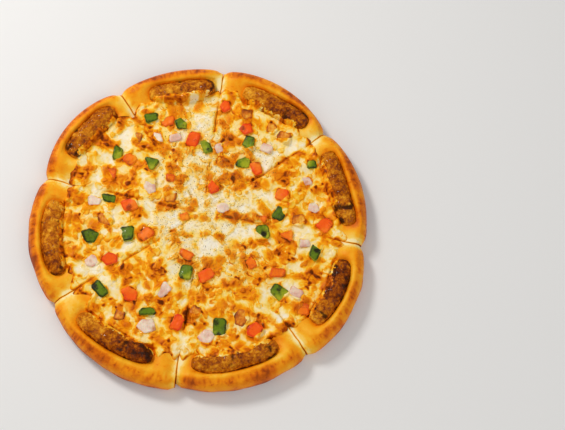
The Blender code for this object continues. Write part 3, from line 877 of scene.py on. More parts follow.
def chicken_finish():
    """Chicken under a film of cheese: golden, with browned corners."""
    look = Finish("browned_chicken", subsurface_weight=0.06, subsurface_scale=2 * MM, specular_ior_level=0.22)
    fibres = look.noise(1.3 * MM, 4.0, 0.7, (1.0, 0.28, 1.0))
    clouds = look.noise(3.4 * MM, 3.0, 0.6)
    # The shade value darkens one side of the piece, partly as painted shade.
    tone = 0.6 * clouds + 0.5 * fibres + look.attribute("caught") * 0.3 + look.attribute("shade") * 0.1 - 0.12
    tone = tone + look.attribute("rim") * 0.22
    surface = look.ramp(
        tone,
        (0.32, colour(255, 206, 96)),
        (0.46, colour(246, 168, 44)),
        (0.6, colour(222, 122, 14)),
        (0.78, colour(166, 76, 4)),
        (1.0, colour(84, 36, 4)),
    )
    normal = look.bump(fibres + clouds, 0.5 * MM, 0.8)
    rough = 0.5 - clouds * 0.15
    return look.done(base_color=surface, roughness=rough, coat_weight=clouds * 0.2, normal=normal)


def herb_finish():
    """Dried herb: dull green and brown flecks."""
    look = Finish("dried_herb", roughness=0.85, specular_ior_level=0.1)
    tint = look.noise(2 * MM, 2.0, 0.5)
    dried = look.ramp(tint, (0.3, colour(70, 84, 30)), (0.5, colour(112, 96, 46)), (0.7, colour(116, 72, 28)))
    return look.done(base_color=dried)


def make_finishes():
    """Every material, by the kind of piece that has it."""
    finishes = {
        "dough": dough_finish(),
        "cheese": cheese_finish(),
        "kebab": kebab_finish(),
        "onion": onion_finish(),
        "chicken": chicken_finish(),
        "herb": herb_finish(),
    }
    for kind, colours in PEPPERS.items():
        finishes[kind] = pepper_finish(kind + "_skin", *(colour(*levels) for levels in colours))
    return finishes


def show(name, mesh):
    """Makes an object of a mesh and puts it in the scene."""
    made = bpy.data.objects.new(name, mesh)
    bpy.context.scene.collection.objects.link(made)
    return made


def add_piece(name, points, faces, finish, attributes):
    """Makes a piece from arrays, with its named values for the shader."""
    mesh = bpy.data.meshes.new(name)
    mesh.from_pydata(np.asarray(points).tolist(), [], faces)
    for key, values in attributes.items():
        layer = mesh.attributes.new(key, "FLOAT", "POINT")
        layer.data.foreach_set("value", np.asarray(values, np.float32))
    mesh.materials.append(finish)
    mesh.shade_smooth()
    made = show(name, mesh)
    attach(made, "root")
    return made


def grid_faces(rows, columns):
    """The faces between the points of a grid."""
    faces = []
    for r in range(rows - 1):
        a = np.arange(r * columns, r * columns + columns - 1)
        faces.extend(np.stack((a, a + 1, a + 1 + columns, a + columns), axis=1).tolist())
    return faces


def face_outwards(made):
    """Turns every face outwards."""
    shape = bmesh.new()
    shape.from_mesh(made.data)
    bmesh.ops.recalc_face_normals(shape, faces=shape.faces)
    shape.to_mesh(made.data)
    shape.free()


def spread(count, crowd):
    """Shares from 0 to 1 that lie closer together near both ends."""
    even = np.linspace(0, 1, count)
    return (1 - crowd) * even + crowd * smooth_step(even)


def closed_share(cut, reach):
    """How far a cut has melted shut again: 1 where the cheese on its two sides has run together."""
    along = cut * CUT_NOISE_APART
    wave = ripple(reach, along, "cuts shut") + 0.35 * ripple(reach, along, "fine cuts shut")
    return np.maximum(between(-0.25, 0.15, wave), between(HUB * 1.4, HUB, reach))


def beside_cuts(piece, reach, share, shut):
    """Where points at a reach and a share lie once the knife's wavering has moved the two sides of each cut
    alike, and the dough or cheese on them has crept back over the cut as far as shut says."""
    x, y = piece.place(reach, share)
    for side, cut in enumerate(piece.cuts):
        bearing = piece.first + side * piece.span
        to_side = reach * np.sin(np.minimum(np.abs(share - side) * piece.span, math.pi / 2))
        along = cut * CUT_NOISE_APART
        waver = 0.8 * MM * ripple(reach, along, "waver") + 0.35 * MM * ripple(reach, along, "fine waver")
        waver = waver * between(4 * MM, HUB, reach) * bell(to_side, WAVER_WIDTH)
        creep = (CREEP_SHUT * shut[side] + CREEP_OPEN * (1 - shut[side])) * bell(to_side, CREEP_WIDTH)
        move = waver + (2 * side - 1) * creep
        x = x - math.sin(bearing) * move
        y = y + math.cos(bearing) * move
    return x, y


def dough_rows(piece, v):
    """The dough's rows of points, from its foot up over the crust and down to its bed. For each: how far it
    lies in from the edge, its height, or None where it lies on the dough's top, and how far it faces up."""
    edge, lip = piece.crust_reach(v), piece.lip(v)
    to_cut = piece.to_cut(edge, v)
    wobble = 0.8 * MM * ripple(*piece.place(edge, v), "crust edge") * between(0, 5 * MM, to_cut)
    rows = []
    for share in np.linspace(0, 1, FOOT_ROWS)[:-1]:
        rows.append((FOOT_INSET * (1 - share) ** 2.4 - wobble * share, WIDEST * share * press(to_cut), 0.0))
    for angle in np.linspace(0, math.pi / 2, ROLL_ROWS):
        rows.append((ROLL * (1 - math.cos(angle)) - wobble * math.cos(angle), None, math.sin(angle)))
    for share in np.linspace(0, 1, CRUST_ROWS)[1:]:
        rows.append((ROLL + (lip - ROLL) * share, None, 1.0))
    for share in np.linspace(0, 1, LIP_ROWS)[1:]:
        rows.append((lip + LIP_RUN * share, None, 1.0))
    return rows


def crust_browning_and_shade(piece, v, inset, x, y, height):
    """How far one row of the dough has browned, with painted shade against the kebab and along the knife's
    gap.
    """
    edge, lip = piece.crust_reach(v), piece.lip(v)
    to_cut = piece.to_cut(edge - inset, v)
    beside = (kebab_rim(piece.index, x, y) - 1) * KEBAB_HALF_WIDTH
    around = edge * v * piece.span + piece.index * SLICES_APART
    up = np.maximum(inset, 0) - (CREST - height)
    mottled = 0.6 * ripple(around, up, "crust mottling")
    mottled = mottled + 0.4 * ripple(around, 0.4 * up, "fine crust mottling")
    ridges = between(-0.1, 0.5, ripple(around, inset * 0.35, "crust streaks"))
    ridges = ridges * bell(beside - RIDGES_AWAY, RIDGES_WIDTH) * (inset < lip * 0.7)
    low, full, waning, high = ROLL_TOP
    on_top = between(high, waning, inset) * between(low, full, inset)
    tone = 0.57 + 0.22 * ripple(x, y, "crust clouds") + 0.1 * ripple(x, y, "crust patches")
    # Painted contact shade, partly browning: a thin dark line where the crust meets the kebab.
    tone = tone + 0.12 * bell(np.maximum(beside, 0), BROWN_AND_SHADE_AT_KEBAB)
    tone = tone - 0.14 * bell(beside - PALE_FOLD, PALE_FOLD)
    tone = tone + 0.17 * ridges + 0.11 * on_top * (1 + 0.9 * mottled)
    # Outer edge browning; its low values at the lower right also paint a highlight there.
    tone = tone + EDGE_BROWNING_AND_HIGHLIGHT[piece.index] * between(OUTER_EDGE, 1 * MM, inset) * (0.9 + 0.6 * mottled)
    tone = tone + 0.3 * between(0.75, 0.2, height / CREST)
    tone = tone - 0.3 * bell(to_cut, PALE_AT_CUT) - 0.36 * bell(to_cut, CREAM_AT_CUT)
    # Painted shade: a thin dark line along the knife's gap.
    return tone + 0.8 * bell(to_cut, KNIFE_GAP_SHADE)


def make_dough(piece, finish):
    """A slice's dough: underside, crust with its groove for the kebab, bed and the two cut faces."""
    v = spread(DOUGH_COLUMNS, 0.6)
    edge = piece.crust_reach(v)
    points, toast = [], []
    for inset, height, upwards in dough_rows(piece, v):
        x, y = beside_cuts(piece, edge - inset, v, (DOUGH_SHUT * upwards, DOUGH_SHUT * upwards))
        if height is None:
            height = dough_top(piece, *piece.place(edge - np.maximum(inset, 0), v))
        points.append(np.stack((x, y, height), axis=1))
        toast.append(crust_browning_and_shade(piece, v, inset, x, y, height))
    rows = len(points)
    first = rows * DOUGH_COLUMNS
    last_row = first - DOUGH_COLUMNS
    tip = [(*piece.place(TIP, side), z) for z in (BED, 0.0) for side in (0.0, 1.0)]
    points = np.concatenate((*points, tip))
    faces = grid_faces(rows, DOUGH_COLUMNS)
    faces.append([*range(last_row, first), first + 1, first])
    faces.append([*range(DOUGH_COLUMNS), first + 3, first + 2])
    faces.append([first, first + 1, first + 3, first + 2])
    faces.append([r * DOUGH_COLUMNS for r in range(rows)] + [first, first + 2])
    faces.append([r * DOUGH_COLUMNS + DOUGH_COLUMNS - 1 for r in range(rows)] + [first + 1, first + 3])
    values = {
        "toast": [*np.concatenate(toast), *([0.3] * len(tip))],
        "crumb": [*([0.0] * first), *([1.0] * len(tip))],
        "underside": points[:, 2] < 0.4 * MM,
    }
    made = add_piece(f"slice_{piece.number}_baked_dough", points, faces, finish, values)
    face_outwards(made)
    for face in made.data.polygons[-5:]:
        face.use_smooth = False
    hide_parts(f"slice_{piece.number}_dough")


def kebab_body(index, along):
    """A smooth bent roll as rings of points at shares of its length, and the middle of each ring."""
    first, last, *reach = KEBABS[index]
    bearing = np.radians(first + (last - first) * along)
    distance = through(*reach, along)
    towards = np.stack((np.cos(bearing), np.sin(bearing)), axis=1)
    line = towards * distance[:, None] * MM + np.array(CUT_POINT)
    ahead = np.gradient(line, axis=0)
    ahead /= np.linalg.norm(ahead, axis=1)[:, None]
    across = np.stack((ahead[:, 1], -ahead[:, 0]), axis=1)
    lump = 1 + 0.06 * ripple(along * KEBAB_LENGTH, index * KEBAB_NOISE_APART, "kebab thickness")
    size = (kebab_fullness(along) * lump)[:, None]
    turn = np.arange(KEBAB_SIDES) * math.tau / KEBAB_SIDES
    wide = KEBAB_HALF_WIDTH * size * np.cos(turn)
    points = np.empty((KEBAB_RINGS, KEBAB_SIDES, 3))
    points[:, :, :2] = line[:, None, :] + across[:, None, :] * wide[:, :, None]
    points[:, :, 2] = KEBAB_AXIS_HEIGHT + KEBAB_HALF_HEIGHT * size * np.sin(turn)
    middles = np.concatenate((line, np.full((KEBAB_RINGS, 1), KEBAB_AXIS_HEIGHT)), axis=1)
    return points, middles[:, None, :]


def make_kebab(index, finish):
    """A kebab: a bent roll of mince with lumps, grains and cracks."""
    even = (np.arange(KEBAB_RINGS) + 0.5) / KEBAB_RINGS
    along = 0.5 - 0.5 * np.cos(math.pi * even)
    points, middles = kebab_body(index, along)
    outwards = points - middles
    outwards /= np.maximum(np.linalg.norm(outwards, axis=2), 1e-6)[:, :, None]
    points = points.reshape(-1, 3)
    lumps = grain(points, "kebab lumps", index)
    mince = np.abs(grain(points, "mince", index))
    crack = np.clip(1 - np.abs(grain(points, "meat cracks", index)) / 0.13, 0, 1)
    push = 0.6 * grain(points, "kebab swells", index) + 0.7 * lumps + 0.95 * mince
    push = push + 0.36 * grain(points, "meat crumbs", index) - 0.4 * crack - 0.75
    points = points + outwards.reshape(-1, 3) * (push * MM)[:, None]
    spots = grain(points, "meat spots", index)
    share = np.repeat(along, KEBAB_SIDES)
    char = np.zeros(len(points))
    for centre, width in CHARRED[index]:
        char = np.maximum(char, bell(share - centre, width))
    char = char * np.clip(0.5 + 0.7 * lumps + 1.1 * spots, 0, 1.1)
    # Painted shade: the roll is darker low down, where it sinks into the dough.
    char = char + 0.4 * np.clip(0.5 - (points[:, 2] - CREST) / (4 * MM), 0, 0.6)
    grilled = np.interp(share, (0.1, 0.5, 0.9), GRILLED[index])
    faces = []
    for ring in range(KEBAB_RINGS - 1):
        a = ring * KEBAB_SIDES + np.arange(KEBAB_SIDES)
        b = ring * KEBAB_SIDES + (np.arange(KEBAB_SIDES) + 1) % KEBAB_SIDES
        faces.extend(np.stack((a, b, b + KEBAB_SIDES, a + KEBAB_SIDES), axis=1).tolist())
    faces.append(list(range(KEBAB_SIDES)))
    faces.append(list(range(len(points) - KEBAB_SIDES, len(points))))
    values = {"char": char, "ridge": mince, "shade": 0.6 * lumps + 0.5 * spots + 1.1 * grilled - 0.25}
    made = add_piece(f"slice_{index + 1}_grilled_kebab", points, faces, finish, values)
    face_outwards(made)
    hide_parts(f"slice_{index + 1}_kebab")


class Chunk:
    """A diced chunk of topping: its kind, solid, outline from above, and the cheese's height at it."""

    def __init__(self, kind, name, shape, proud):
        self.kind = kind
        self.name = name
        self.shape = shape
        flat = [v.co.xy for v in shape.verts]
        self.outline = np.array([flat[k] for k in geometry.convex_hull_2d(flat)])
        self.middle = self.outline.mean(axis=0)
        shape.normal_update()
        face = max(shape.faces, key=lambda f: f.calc_area() * f.normal.z)
        self.tilt = face.normal.copy()
        self.top_middle = face.calc_center_median()
        self.cheese = self.top_middle.z - proud

    def top(self, x, y):
        """Height of the chunk's upper side."""
        sideways = self.tilt.x * (x - self.top_middle.x) + self.tilt.y * (y - self.top_middle.y)
        return self.top_middle.z - sideways / self.tilt.z

    def film(self, x, y):
        """How far points lie inside the edge of the cheese that has run over the chunk from one side."""
        draw = np.random.default_rng(int(abs(self.middle[0]) / MM * 100 + abs(self.middle[1]) / MM))
        bearing = draw.uniform(0, math.tau)
        shy = draw.uniform(*FILM_STARTS[self.kind]) * MM
        off = (x - self.middle[0]) * math.cos(bearing) + (y - self.middle[1]) * math.sin(bearing)
        return off - shy + FILM_WAVE * ripple(x, y, "film edge")

    def distance(self, x, y):
        """How far points lie outside the chunk's outline; less than 0 inside it."""
        best = np.full(np.shape(x), -1.0)
        for k, here in enumerate(self.outline):
            side = self.outline[(k + 1) % len(self.outline)] - here
            side = side / max(np.linalg.norm(side), 1e-9)
            out = np.array((side[1], -side[0]))
            if out @ (self.middle - here) > 0:
                out = -out
            best = np.maximum(best, (x - here[0]) * out[0] + (y - here[1]) * out[1])
        return best


def node_chunk(node, kind):
    """A chunk from a CAD node's own solid."""
    shape = bmesh.new()
    shape.from_mesh(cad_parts[node].data)
    bmesh.ops.remove_doubles(shape, verts=shape.verts, dist=0.01 * MM)
    bmesh.ops.dissolve_limit(shape, angle_limit=math.radians(2), verts=shape.verts, edges=shape.edges)
    return Chunk(kind, node, shape, STANDS_PROUD[kind])


def chunk_outline(corners, draw):
    """A chunk's uneven corners, each of them cut off."""
    starts = [math.tau * (k + 0.5) / corners + draw.uniform(-0.24, 0.24) for k in range(corners)]
    reach = [draw.uniform(0.86, 1.1) for _ in range(corners)]
    widen = 1 / math.cos(math.pi / corners) if corners < 6 else 1.06
    whole = [Vector((math.cos(a), math.sin(a))) * r * widen for a, r in zip(starts, reach)]
    chamfer = CORNER_CHAMFER / (1 + (corners > 4))
    outline = []
    for k in range(corners):
        outline.append(whole[k].lerp(whole[k - 1], chamfer))
        outline.append(whole[k].lerp(whole[(k + 1) % corners], chamfer))
    return outline


def sunk_chunk(row, piece, seed):
    """A half sunk chunk: a prism with uneven, cut-off corners and a bevelled top."""
    kind, x, y, length, width, turn, corners = row
    draw = np.random.default_rng(seed)
    tilt_x, tilt_y = draw.uniform(-CHUNK_TILT, CHUNK_TILT, 2)
    outline = chunk_outline(corners, draw)
    widest = [max(abs(p[axis]) for p in outline) for axis in (0, 1)]
    half = Vector((length * MM / 2 / widest[0], width * MM / 2 / widest[1]))
    level = float(cheese_level(piece, np.array(x * MM), np.array(y * MM)))
    lie = Matrix.Rotation(math.radians(tilt_x), 4, "X") @ Matrix.Rotation(math.radians(tilt_y), 4, "Y")
    whole = Matrix.Translation((x * MM, y * MM, level)) @ lie @ Matrix.Rotation(math.radians(turn), 4, "Z")
    top = SUNK_STANDS_PROUD
    shape = bmesh.new()
    rings = []
    for z, inset in ((top - SUNK_THICKNESS, 0.0), (top - TOP_BEVEL, 0.0), (top, TOP_BEVEL)):
        ring = []
        for p in outline:
            flat = Vector((p.x * half.x, p.y * half.y, z))
            flat.xy -= flat.xy.normalized() * inset
            ring.append(shape.verts.new(whole @ flat))
        rings.append(ring)
    shape.faces.new(rings[0][::-1])
    shape.faces.new(rings[-1])
    for lower, upper in zip(rings, rings[1:]):
        for k in range(len(outline)):
            beside = (k + 1) % len(outline)
            shape.faces.new((lower[k], lower[beside], upper[beside], upper[k]))
    return Chunk(kind, f"sunk_{kind}_{seed - FIRST_SUNK_SEED + 1:02d}", shape, top)


def evened(chunk):
    """A chunk's solid as an even mesh with rounded edges."""
    raw = bpy.data.meshes.new(chunk.name + "_raw")
    bmesh.ops.recalc_face_normals(chunk.shape, faces=chunk.shape.faces)
    chunk.shape.to_mesh(raw)
    chunk.shape.free()
    holder = show(chunk.name + "_raw", raw)
    remesh = holder.modifiers.new("even", "REMESH")
    remesh.mode = "VOXEL"
    remesh.voxel_size = CHUNK_VOXEL
    soften = holder.modifiers.new("soften", "SMOOTH")
    soften.factor = 0.5
    soften.iterations = 2
    graph = bpy.context.evaluated_depsgraph_get()
    mesh = bpy.data.meshes.new_from_object(holder.evaluated_get(graph))
    bpy.data.objects.remove(holder)
    bpy.data.meshes.remove(raw)
    return mesh


def finish_chunk(chunk, finish, number):
    """Gives a chunk its uneven surface, and marks its skin, its side that is painted darker as shade, and its
    scorched spots.
    """
    mesh = evened(chunk)
    points, normals = np.empty(len(mesh.vertices) * 3), np.empty(len(mesh.vertices) * 3)
    mesh.vertices.foreach_get("co", points)
    mesh.vertex_normals.foreach_get("vector", normals)
    points, normals = points.reshape(-1, 3), normals.reshape(-1, 3)
    faces = [list(face.vertices) for face in mesh.polygons]
    bpy.data.meshes.remove(mesh)
    draw = np.random.default_rng(FIRST_CHUNK_DRAW + number)
    rim = np.clip(1 + chunk.distance(points[:, 0], points[:, 1]) / CHUNK_RIM, 0, 1)
    wide, small = CHUNK_BUMPS[chunk.kind]
    push = wide * grain(points, "wide chunk bumps", number)
    push = push + small * grain(points, "small chunk bumps", number) + CHUNK_SWELL
    points = points + normals * push[:, None] * MM
    off = points[:, :2] - chunk.middle
    points[:, :2] = chunk.middle + off * CHUNK_FULLNESS
    lit = draw.uniform(0, math.tau)
    half = max(np.ptp(off[:, 0]), np.ptp(off[:, 1])) / 2
    side = 0.5 + 0.5 * (off[:, 0] * math.cos(lit) + off[:, 1] * math.sin(lit)) / half
    if chunk.kind != "chicken":
        bearing = draw.uniform(0, math.pi)
        across = off[:, 0] * math.cos(bearing) + off[:, 1] * math.sin(bearing)
        bend = draw.choice((-1.0, -1.0, 0.5)) * draw.uniform(4, 13)
        points[:, 2] += across**2 * bend - 0.2 * MM * np.sign(bend)
    caught = np.clip(0.36 + 0.8 * grain(points, "chunk scorches", number) - 0.15 * normals[:, 2], 0, 1)
    lean = np.array((*draw.uniform(-0.3, 0.3, 2), 1.0))
    skin = between(0.25, 0.75, normals @ (lean / np.linalg.norm(lean)))
    # Shade is each chunk's own darkness plus painted shade that darkens it towards one random side.
    shade = 0.7 * draw.random() + 0.7 * side - 0.22
    values = {"skin": skin, "caught": caught, "shade": shade, "rim": rim}
    return add_piece(chunk.name + "_chunk", points, faces, finish, values)


def cheese_edge(piece, v):
    """How far the melted cheese runs out over the crust and the kebab."""
    edge, lip = piece.crust_reach(v), piece.lip(v)
    x, y = piece.place(edge - lip, v)
    ragged = 2.2 * MM * ripple(x, y, "ragged edge") + 1.1 * MM * ripple(x, y, "fine ragged edge")
    nearest = np.where(v < 0.5, *piece.cuts)
    run = np.array(RUNS_AT_CUTS)[nearest] * MM * bell(piece.to_cut(edge, v), RUN_WIDTH)
    over_dough = edge - lip + RUN_OVER_DOUGH + 1.5 * ragged + run
    along, outwards = kebab_shares(piece.index, x, y)
    kebab_side = edge - lip - outwards - KEBAB_HALF_WIDTH
    over_kebab = kebab_side + RUNS_OVER_KEBABS[piece.index] * MM + 0.7 * ragged
    at_kebab = between(-0.08, 0.06, along) * between(-0.08, 0.06, 1 - along)
    return over_dough + (over_kebab - over_dough) * at_kebab


class Cheese:
    """A slice's melted cheese: a sheet of points in rows from the slice's tip outwards. Milk says how white
    it is, tone how far it has browned, with painted shade in its crevices, between its lumps, round its
    chunks and along its cuts, and relief how far its surface stands out of its level."""

    def __init__(self, piece):
        self.piece = piece
        v = spread(CHEESE_COLUMNS, 0.35)
        rows = np.linspace(0, 1, CHEESE_ROWS)[:, None]
        outer = cheese_edge(piece, v)
        self.reach = CHEESE_TIP + (outer + CHEESE_MARGIN - CHEESE_TIP) * rows
        share = v[None, :] + 0 * rows
        self.inside = outer[None, :] - self.reach
        closed = [closed_share(cut, self.reach) * between(0, CUTS_CLOSE, self.inside) for cut in piece.cuts]
        x, y = beside_cuts(piece, self.reach, share, closed)
        to_middle = 0.8 * bell(self.reach, 2 * MM)
        self.x = x + (CUT_POINT.x - piece.point.x) * to_middle
        self.y = y + (CUT_POINT.y - piece.point.y) * to_middle
        self.shut = np.where(share < 0.5, *closed)
        self.to_cut = piece.to_cut(self.reach, share)
        self.bake()
        self.z = cheese_level(piece, self.x, self.y) + self.relief

    def noise(self, name):
        """A named noise at the sheet's points."""
        return ripple(self.x, self.y, name)

    def bent_noise(self, name):
        """A named noise in the bent pattern."""
        return ripple(self.bent_x, self.bent_y, name)

    def bake(self):
        """Sets milk, tone and relief from the pools, the browned patches, the lumps, the strands between them
        and the crevices. The pattern is bent, so that nothing in it looks regular."""
        x, y = self.x, self.y
        self.bent_x = x + 2.4 * MM * self.noise("bend x") + 0.7 * MM * self.noise("fine bend x")
        self.bent_y = y + 2.4 * MM * self.noise("bend y") + 0.7 * MM * self.noise("fine bend y")
        clouds, flecks = self.noise("clouds"), self.bent_noise("flecks")
        browned = patches(self.bent_x, self.bent_y, BROWNED_PATCHES, 0.75)
        browned = browned * (1 + 0.35 * self.bent_noise("browned edges"))
        milk = patches(self.bent_x, self.bent_y, WHITE_POOLS, 0.7) + 0.3 * clouds - 0.8 * browned
        milk = np.clip(milk, 0, 1) * between(*WHITE_STARTS, self.inside)
        curd, curd_number = melted_lumps(self.bent_x, self.bent_y, CURD, CURD_SEED)
        bead, bead_number = melted_lumps(self.bent_x, self.bent_y, BEAD, BEAD_SEED)
        shreds, shred_rims = self.shreds(milk)
        strands = bell(self.bent_noise("strands"), 0.09) * between(-0.3, 0.3, self.noise("strands here"))
        strands = strands * (1 - milk)
        crevices = bell(self.bent_noise("crevices"), 0.07) * between(0.1, 0.45, self.noise("crevices here"))
        golden = curd * np.clip((curd_number - 0.15) / 0.6, 0, 1)
        dots = bead * np.clip((bead_number - 0.45) / 0.4, 0, 1)
        # The outlines darken the low flanks of the lumps: partly browned edges, partly painted shade in the
        # valleys between them.
        outlines = bell(curd - 0.3, 0.2) * between(0.5, 0.8, curd_number)
        outlines = outlines + bell(bead - 0.35, 0.25) * between(0.6, 0.85, bead_number)
        outlines = outlines * between(-0.25, 0.35, self.noise("outlines here"))

        tone = 0.19 + 0.12 * clouds + browned * (0.27 + 0.26 * self.bent_noise("broken brown"))
        tone = tone + 0.05 * flecks + 0.05 * self.bent_noise("speckle") + 0.52 * golden * (1 - 0.7 * milk)
        tone = tone + 0.24 * dots * (1 - 0.45 * milk) + 0.16 * outlines * (1 - 0.3 * milk)
        tone = tone - 0.2 * milk - 0.45 * strands * np.maximum(tone - 0.2, 0)
        # Painted shade: the crevices are painted darker as well as sunk.
        tone = tone + 0.2 * shreds + 0.42 * shred_rims + 0.36 * crevices * (1 - milk)
        tone = np.minimum(tone, 0.58 + 0.45 * (tone - 0.58))
        tone = tone + 0.22 * between(BROWN_EDGE, 0, self.inside) * (1 + 0.8 * flecks)
        tone = tone + 0.38 * dots * between(0.7, 0.9, bead_number) * between(0.25, 0.6, browned)

        lumps = curd * (0.25 + 0.75 * curd_number) + 0.5 * bead * (0.2 + 0.8 * bead_number)
        relief = lumps * (1 - 0.6 * milk) + 0.07 * flecks + 0.4 * browned - 0.4 * milk + 0.45 * strands
        self.relief = MM * (relief - 0.45 + 0.9 * shreds - 0.5 * crevices)
        self.milk = milk
        self.tone = tone

    def shreds(self, milk):
        """Shreds that have kept their shape, and their browned rims."""
        half_bent_x = self.x + 0.5 * (self.bent_x - self.x)
        half_bent_y = self.y + 0.5 * (self.bent_y - self.y)
        shred, number = melted_lumps(half_bent_x, half_bent_y, SHRED, SHRED_SEED)
        here = between(0.5, 0.62, number) * (1 - 0.6 * milk) * between(*SHREDS_START, self.inside)
        rims = here * bell(shred - 0.42, 0.12) * between(-0.5, 0.3, self.noise("shred rims here"))
        return here * between(0.4, 0.7, shred), rims

    def melt_over(self, chunk):
        """The cheese lies flat under a chunk, climbs up its sides and runs over a part of it. A line round it
        is painted darker, partly browned and partly as painted shade where the chunk meets the cheese.
        """
        away = chunk.distance(self.x, self.y)
        outside = np.maximum(away, 0)
        under = smooth_step((0.5 * MM - away) / (1.6 * MM))
        self.z = self.z + (chunk.cheese - 0.5 * MM - self.z) * under
        collar = bell(outside, COLLAR_WIDTH) * (away > 0)
        self.z = self.z + (0.45 + 0.5 * self.noise("collar")) * MM * collar
        flow = chunk.film(self.x, self.y)
        film = between(-0.4 * MM, 0.6 * MM, flow) * between(1.6 * MM, 0.2 * MM, away)
        bulge = (FILM_BULGE + 0.35 * self.relief) * between(-0.2 * MM, 3.0 * MM, flow)
        over = chunk.top(self.x, self.y) + FILM_THICKNESS + bulge
        self.z = np.where(away < 1.8 * MM, np.maximum(self.z, self.z + (over - self.z) * film), self.z)
        # Painted shade, partly browning: a dark line where the cheese meets the chunk.
        caught = between(-0.2, 0.5, self.noise("caught here")) * bell(away - CAUGHT_AWAY, CAUGHT_WIDTH)
        self.tone = self.tone + 0.26 * caught * (1 - film)
        if chunk.kind in JUICY:
            self.tone = self.tone + 0.14 * bell(outside, JUICE_WIDTH)

    def thin_out(self):
        """At its outer edge the sheet thins out over the crust and the kebab that carry it."""
        kebab = kebab_top(self.piece.index, self.x, self.y) + 0.1 * MM
        carried = np.maximum(dough_top(self.piece, self.x, self.y), kebab)
        layer = EDGE_THICKNESS * (1 - np.exp(-np.maximum(self.inside, 0) / EDGE_ROUNDING))
        layer = layer - 1.0 * MM * np.clip(-self.inside / (1.5 * MM), 0, 1)
        layer = layer + 0.4 * (self.relief + 0.4 * MM) * between(0, 3 * MM, self.inside)
        self.z = np.maximum(self.z - EDGE_DROP * between(2.5 * MM, -1.0 * MM, self.inside), carried + layer)

    def mark_cuts(self):
        """The knife leaves a soft valley, deeper where the cut is open, and the valley is painted darker as
        shade, most where the cut is open.
        """
        from_middle = between(CUTS_START, HUB, self.reach)
        self.z = self.z - VALLEY_DEPTH * (1 - self.shut) * bell(self.to_cut, VALLEY_WIDTH)
        self.z = self.z - DIP_DEPTH * bell(self.to_cut, DIP_WIDTH) * from_middle
        # Painted shade: the cut's valley is painted darker, most where the cut is open.
        cut_shade = 0.06 + 0.16 * (1 - self.shut)
        self.tone = self.tone + cut_shade * bell(self.to_cut, CUT_SHADE_WIDTH) * from_middle


def sheet_rim(rows, columns):
    """The points round the edge of a grid, in order."""
    rim = list(range(columns))
    rim += [r * columns + columns - 1 for r in range(1, rows)]
    rim += [(rows - 1) * columns + c for c in range(columns - 2, -1, -1)]
    rim += [r * columns for r in range(rows - 2, 0, -1)]
    return rim


def make_cheese(piece, chunks, finish):
    """A slice's cheese: pools, swells and browned blisters, melted over the crust's lip and the kebab."""
    cheese = Cheese(piece)
    for chunk in chunks:
        cheese.melt_over(chunk)
    cheese.thin_out()
    cheese.mark_cuts()
    herb = patches(cheese.x, cheese.y, HERB_PATCHES, 0.6) * (cheese.inside > HERB_STARTS)
    for chunk in chunks:
        herb = herb * (chunk.distance(cheese.x, cheese.y) > 0)
    points = np.stack((cheese.x, cheese.y, cheese.z), axis=2).reshape(-1, 3)
    rim = sheet_rim(CHEESE_ROWS, CHEESE_COLUMNS)
    below = points[rim].copy()
    below[:, 2] = BED + 0.3 * MM
    first, count = len(points), len(rim)
    faces = grid_faces(CHEESE_ROWS, CHEESE_COLUMNS)
    for k in range(count):
        beside = (k + 1) % count
        faces.append([rim[k], rim[beside], first + beside, first + k])
    faces.append([first + k for k in range(count)])
    values = {
        "browning": [*np.clip(cheese.tone, 0, 1).ravel(), *([0.25] * count)],
        "milk": [*cheese.milk.ravel(), *([0.0] * count)],
        "crumb": [*([0.0] * first), *([1.0] * count)],
        "herb": [*herb.ravel(), *([0.0] * count)],
    }
    name = f"slice_{piece.number}_melted_cheese"
    made = add_piece(name, np.concatenate((points, below)), faces, finish, values)
    face_outwards(made)
    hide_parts(f"slice_{piece.number}_cheese")
    return made


